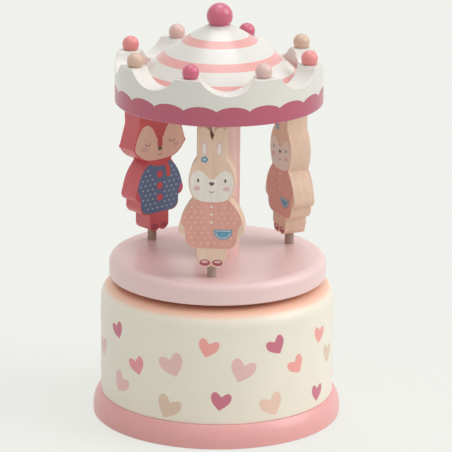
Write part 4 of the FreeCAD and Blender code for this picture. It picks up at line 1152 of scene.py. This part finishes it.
# %% Heart shape
HEART_LIFT = 0.04 * MM
HEART_RINGS = 4
HEART_POINTS = 56
TIP_POWER = 0.75


def heart_curve():
    """One heart of width 1, anticlockwise about its middle."""
    t = np.linspace(2 * np.pi, 0, HEART_POINTS, endpoint=False)
    x = 16 * np.sin(t) * np.abs(np.sin(t)) ** TIP_POWER
    y = 13 * np.cos(t) - 5 * np.cos(2 * t) - 2 * np.cos(3 * t) - np.cos(4 * t) + 2.5
    return np.stack((x, y), 1) / 32


def heart_faces():
    """A fan in the middle, quads out to the rim and down to its sunk copy, and a fan underneath."""
    ring = np.arange(HEART_POINTS)
    after = (ring + 1) % HEART_POINTS
    fan = np.stack((np.zeros_like(ring), 1 + ring, 1 + after), 1)
    row = 1 + np.arange(HEART_RINGS)[:, None] * HEART_POINTS
    beyond = row + HEART_POINTS
    quads = np.stack((row + ring, beyond + ring, beyond + after, row + after), 2).reshape(-1, 4)
    last = 1 + HEART_RINGS * HEART_POINTS
    under = np.stack((last + after, last + ring, np.full_like(ring, last + HEART_POINTS)), 1)
    return fan, quads, under


print("a heart has", sum(len(part) for part in heart_faces()), "faces")

# %% [markdown]
# ## Hearts round the drum
# The hearts are stencilled paint, so each is a patch a few hundredths of a millimetre thick that
# follows the curve of the wood. It is wrapped by turning sideways distance into an angle, for all
# the hearts in one array.

# %% Hearts


def wrapped_hearts(rows):
    """Points of all hearts: tilted and sized on the flat, then (radius cos, radius sin, height)."""
    curve = heart_curve()
    share = np.arange(1, HEART_RINGS + 1)[:, None, None] / HEART_RINGS
    flat = np.concatenate(([(0, 0)], (curve * share).reshape(-1, 2), curve, [(0, 0)]))
    lift = np.full(len(flat), HEART_LIFT)
    lift[1 + HEART_RINGS * HEART_POINTS:] = -HEART_LIFT
    angle, height, width, tilt = np.array([row[:4] for row in rows], float).T[:, :, None]
    lean = np.radians(tilt)
    sideways = width * (flat[:, 0] * np.cos(lean) - flat[:, 1] * np.sin(lean))
    upright = width * (flat[:, 0] * np.sin(lean) + flat[:, 1] * np.cos(lean))
    turn = np.radians(angle - 90 + CAMERA_AZIMUTH) + sideways * MM / drum_radius
    radius = drum_radius + lift
    z = plinth_top + (height + upright) * MM
    return np.stack((radius * np.cos(turn), radius * np.sin(turn), z), 2)


patches = wrapped_hearts(heart_rows)
starts = (np.arange(len(patches)) * patches.shape[1])[:, None, None]
paint_of = np.array([row[4] for row in heart_rows])
faces, colours = [], []
for part in heart_faces():
    faces += (part + starts).reshape(-1, part.shape[1]).tolist()
    colours += np.repeat(paint_of, len(part)).tolist()
stencils = [painted(name, colour, 0.42, wander=0.03) for name, colour in HEART_PAINTS]
hearts = place_mesh("drum_hearts", patches.reshape(-1, 3), faces, stencils, "base")
hearts.data.polygons.foreach_set("material_index", colours)
hearts.data.set_sharp_from_angle(angle=math.radians(40))
print(len(patches), "hearts wrapped round the drum")

# %% [markdown]
# ## Movement metals
# The works under the deck stay as the solids that the frame brings, because gears, comb and spring are
# exactly the shapes that a factory would cut. They only need finishes: brushed brass and steel, a
# grainy zinc casting, and a milky nylon washer.

# %% Metals
BRUSH_LINES = (900.0, 120.0, 900.0)


def metal(name, colour, rough, brush):
    """Bare metal whose brush lines vary its tone, its roughness and its surface."""
    material, tree, shader, place = blank(name)
    lines = along_grain(tree, place, brush, 3.0)
    level = light_level(*colour)
    tone = ramp(tree, lines, [(0.3, shade(level, 0.9)), (0.7, shade(level, 1.05))])
    tree.links.new(tone, shader.inputs["Base Color"])
    rough_between(tree, shader, lines, rough - 0.08, rough + 0.12)
    raised_by(tree, shader, lines, 0.05)
    shader.inputs["Metallic"].default_value = 1.0
    return material


finishes = {
    "brass": metal("brass_finish", (214, 178, 108), 0.30, BRUSH_LINES),
    "steel": metal("steel_finish", (176, 178, 182), 0.28, BRUSH_LINES),
    "zinc": metal("zinc_finish", (160, 162, 166), 0.50, PLAIN),
    "nylon": painted("nylon_finish", (232, 230, 222), 0.45, 0.05, PLAIN),
    "bare_wood": board_wood,
}
for part in frame["record"]["subparts"]:
    node = frame["nodes"][part["node"]]
    if not node.hide_render:
        node.data.materials.clear()
        node.data.materials.append(finishes[part["material_slot"]])
        print(part["node"], "in", part["material_slot"])
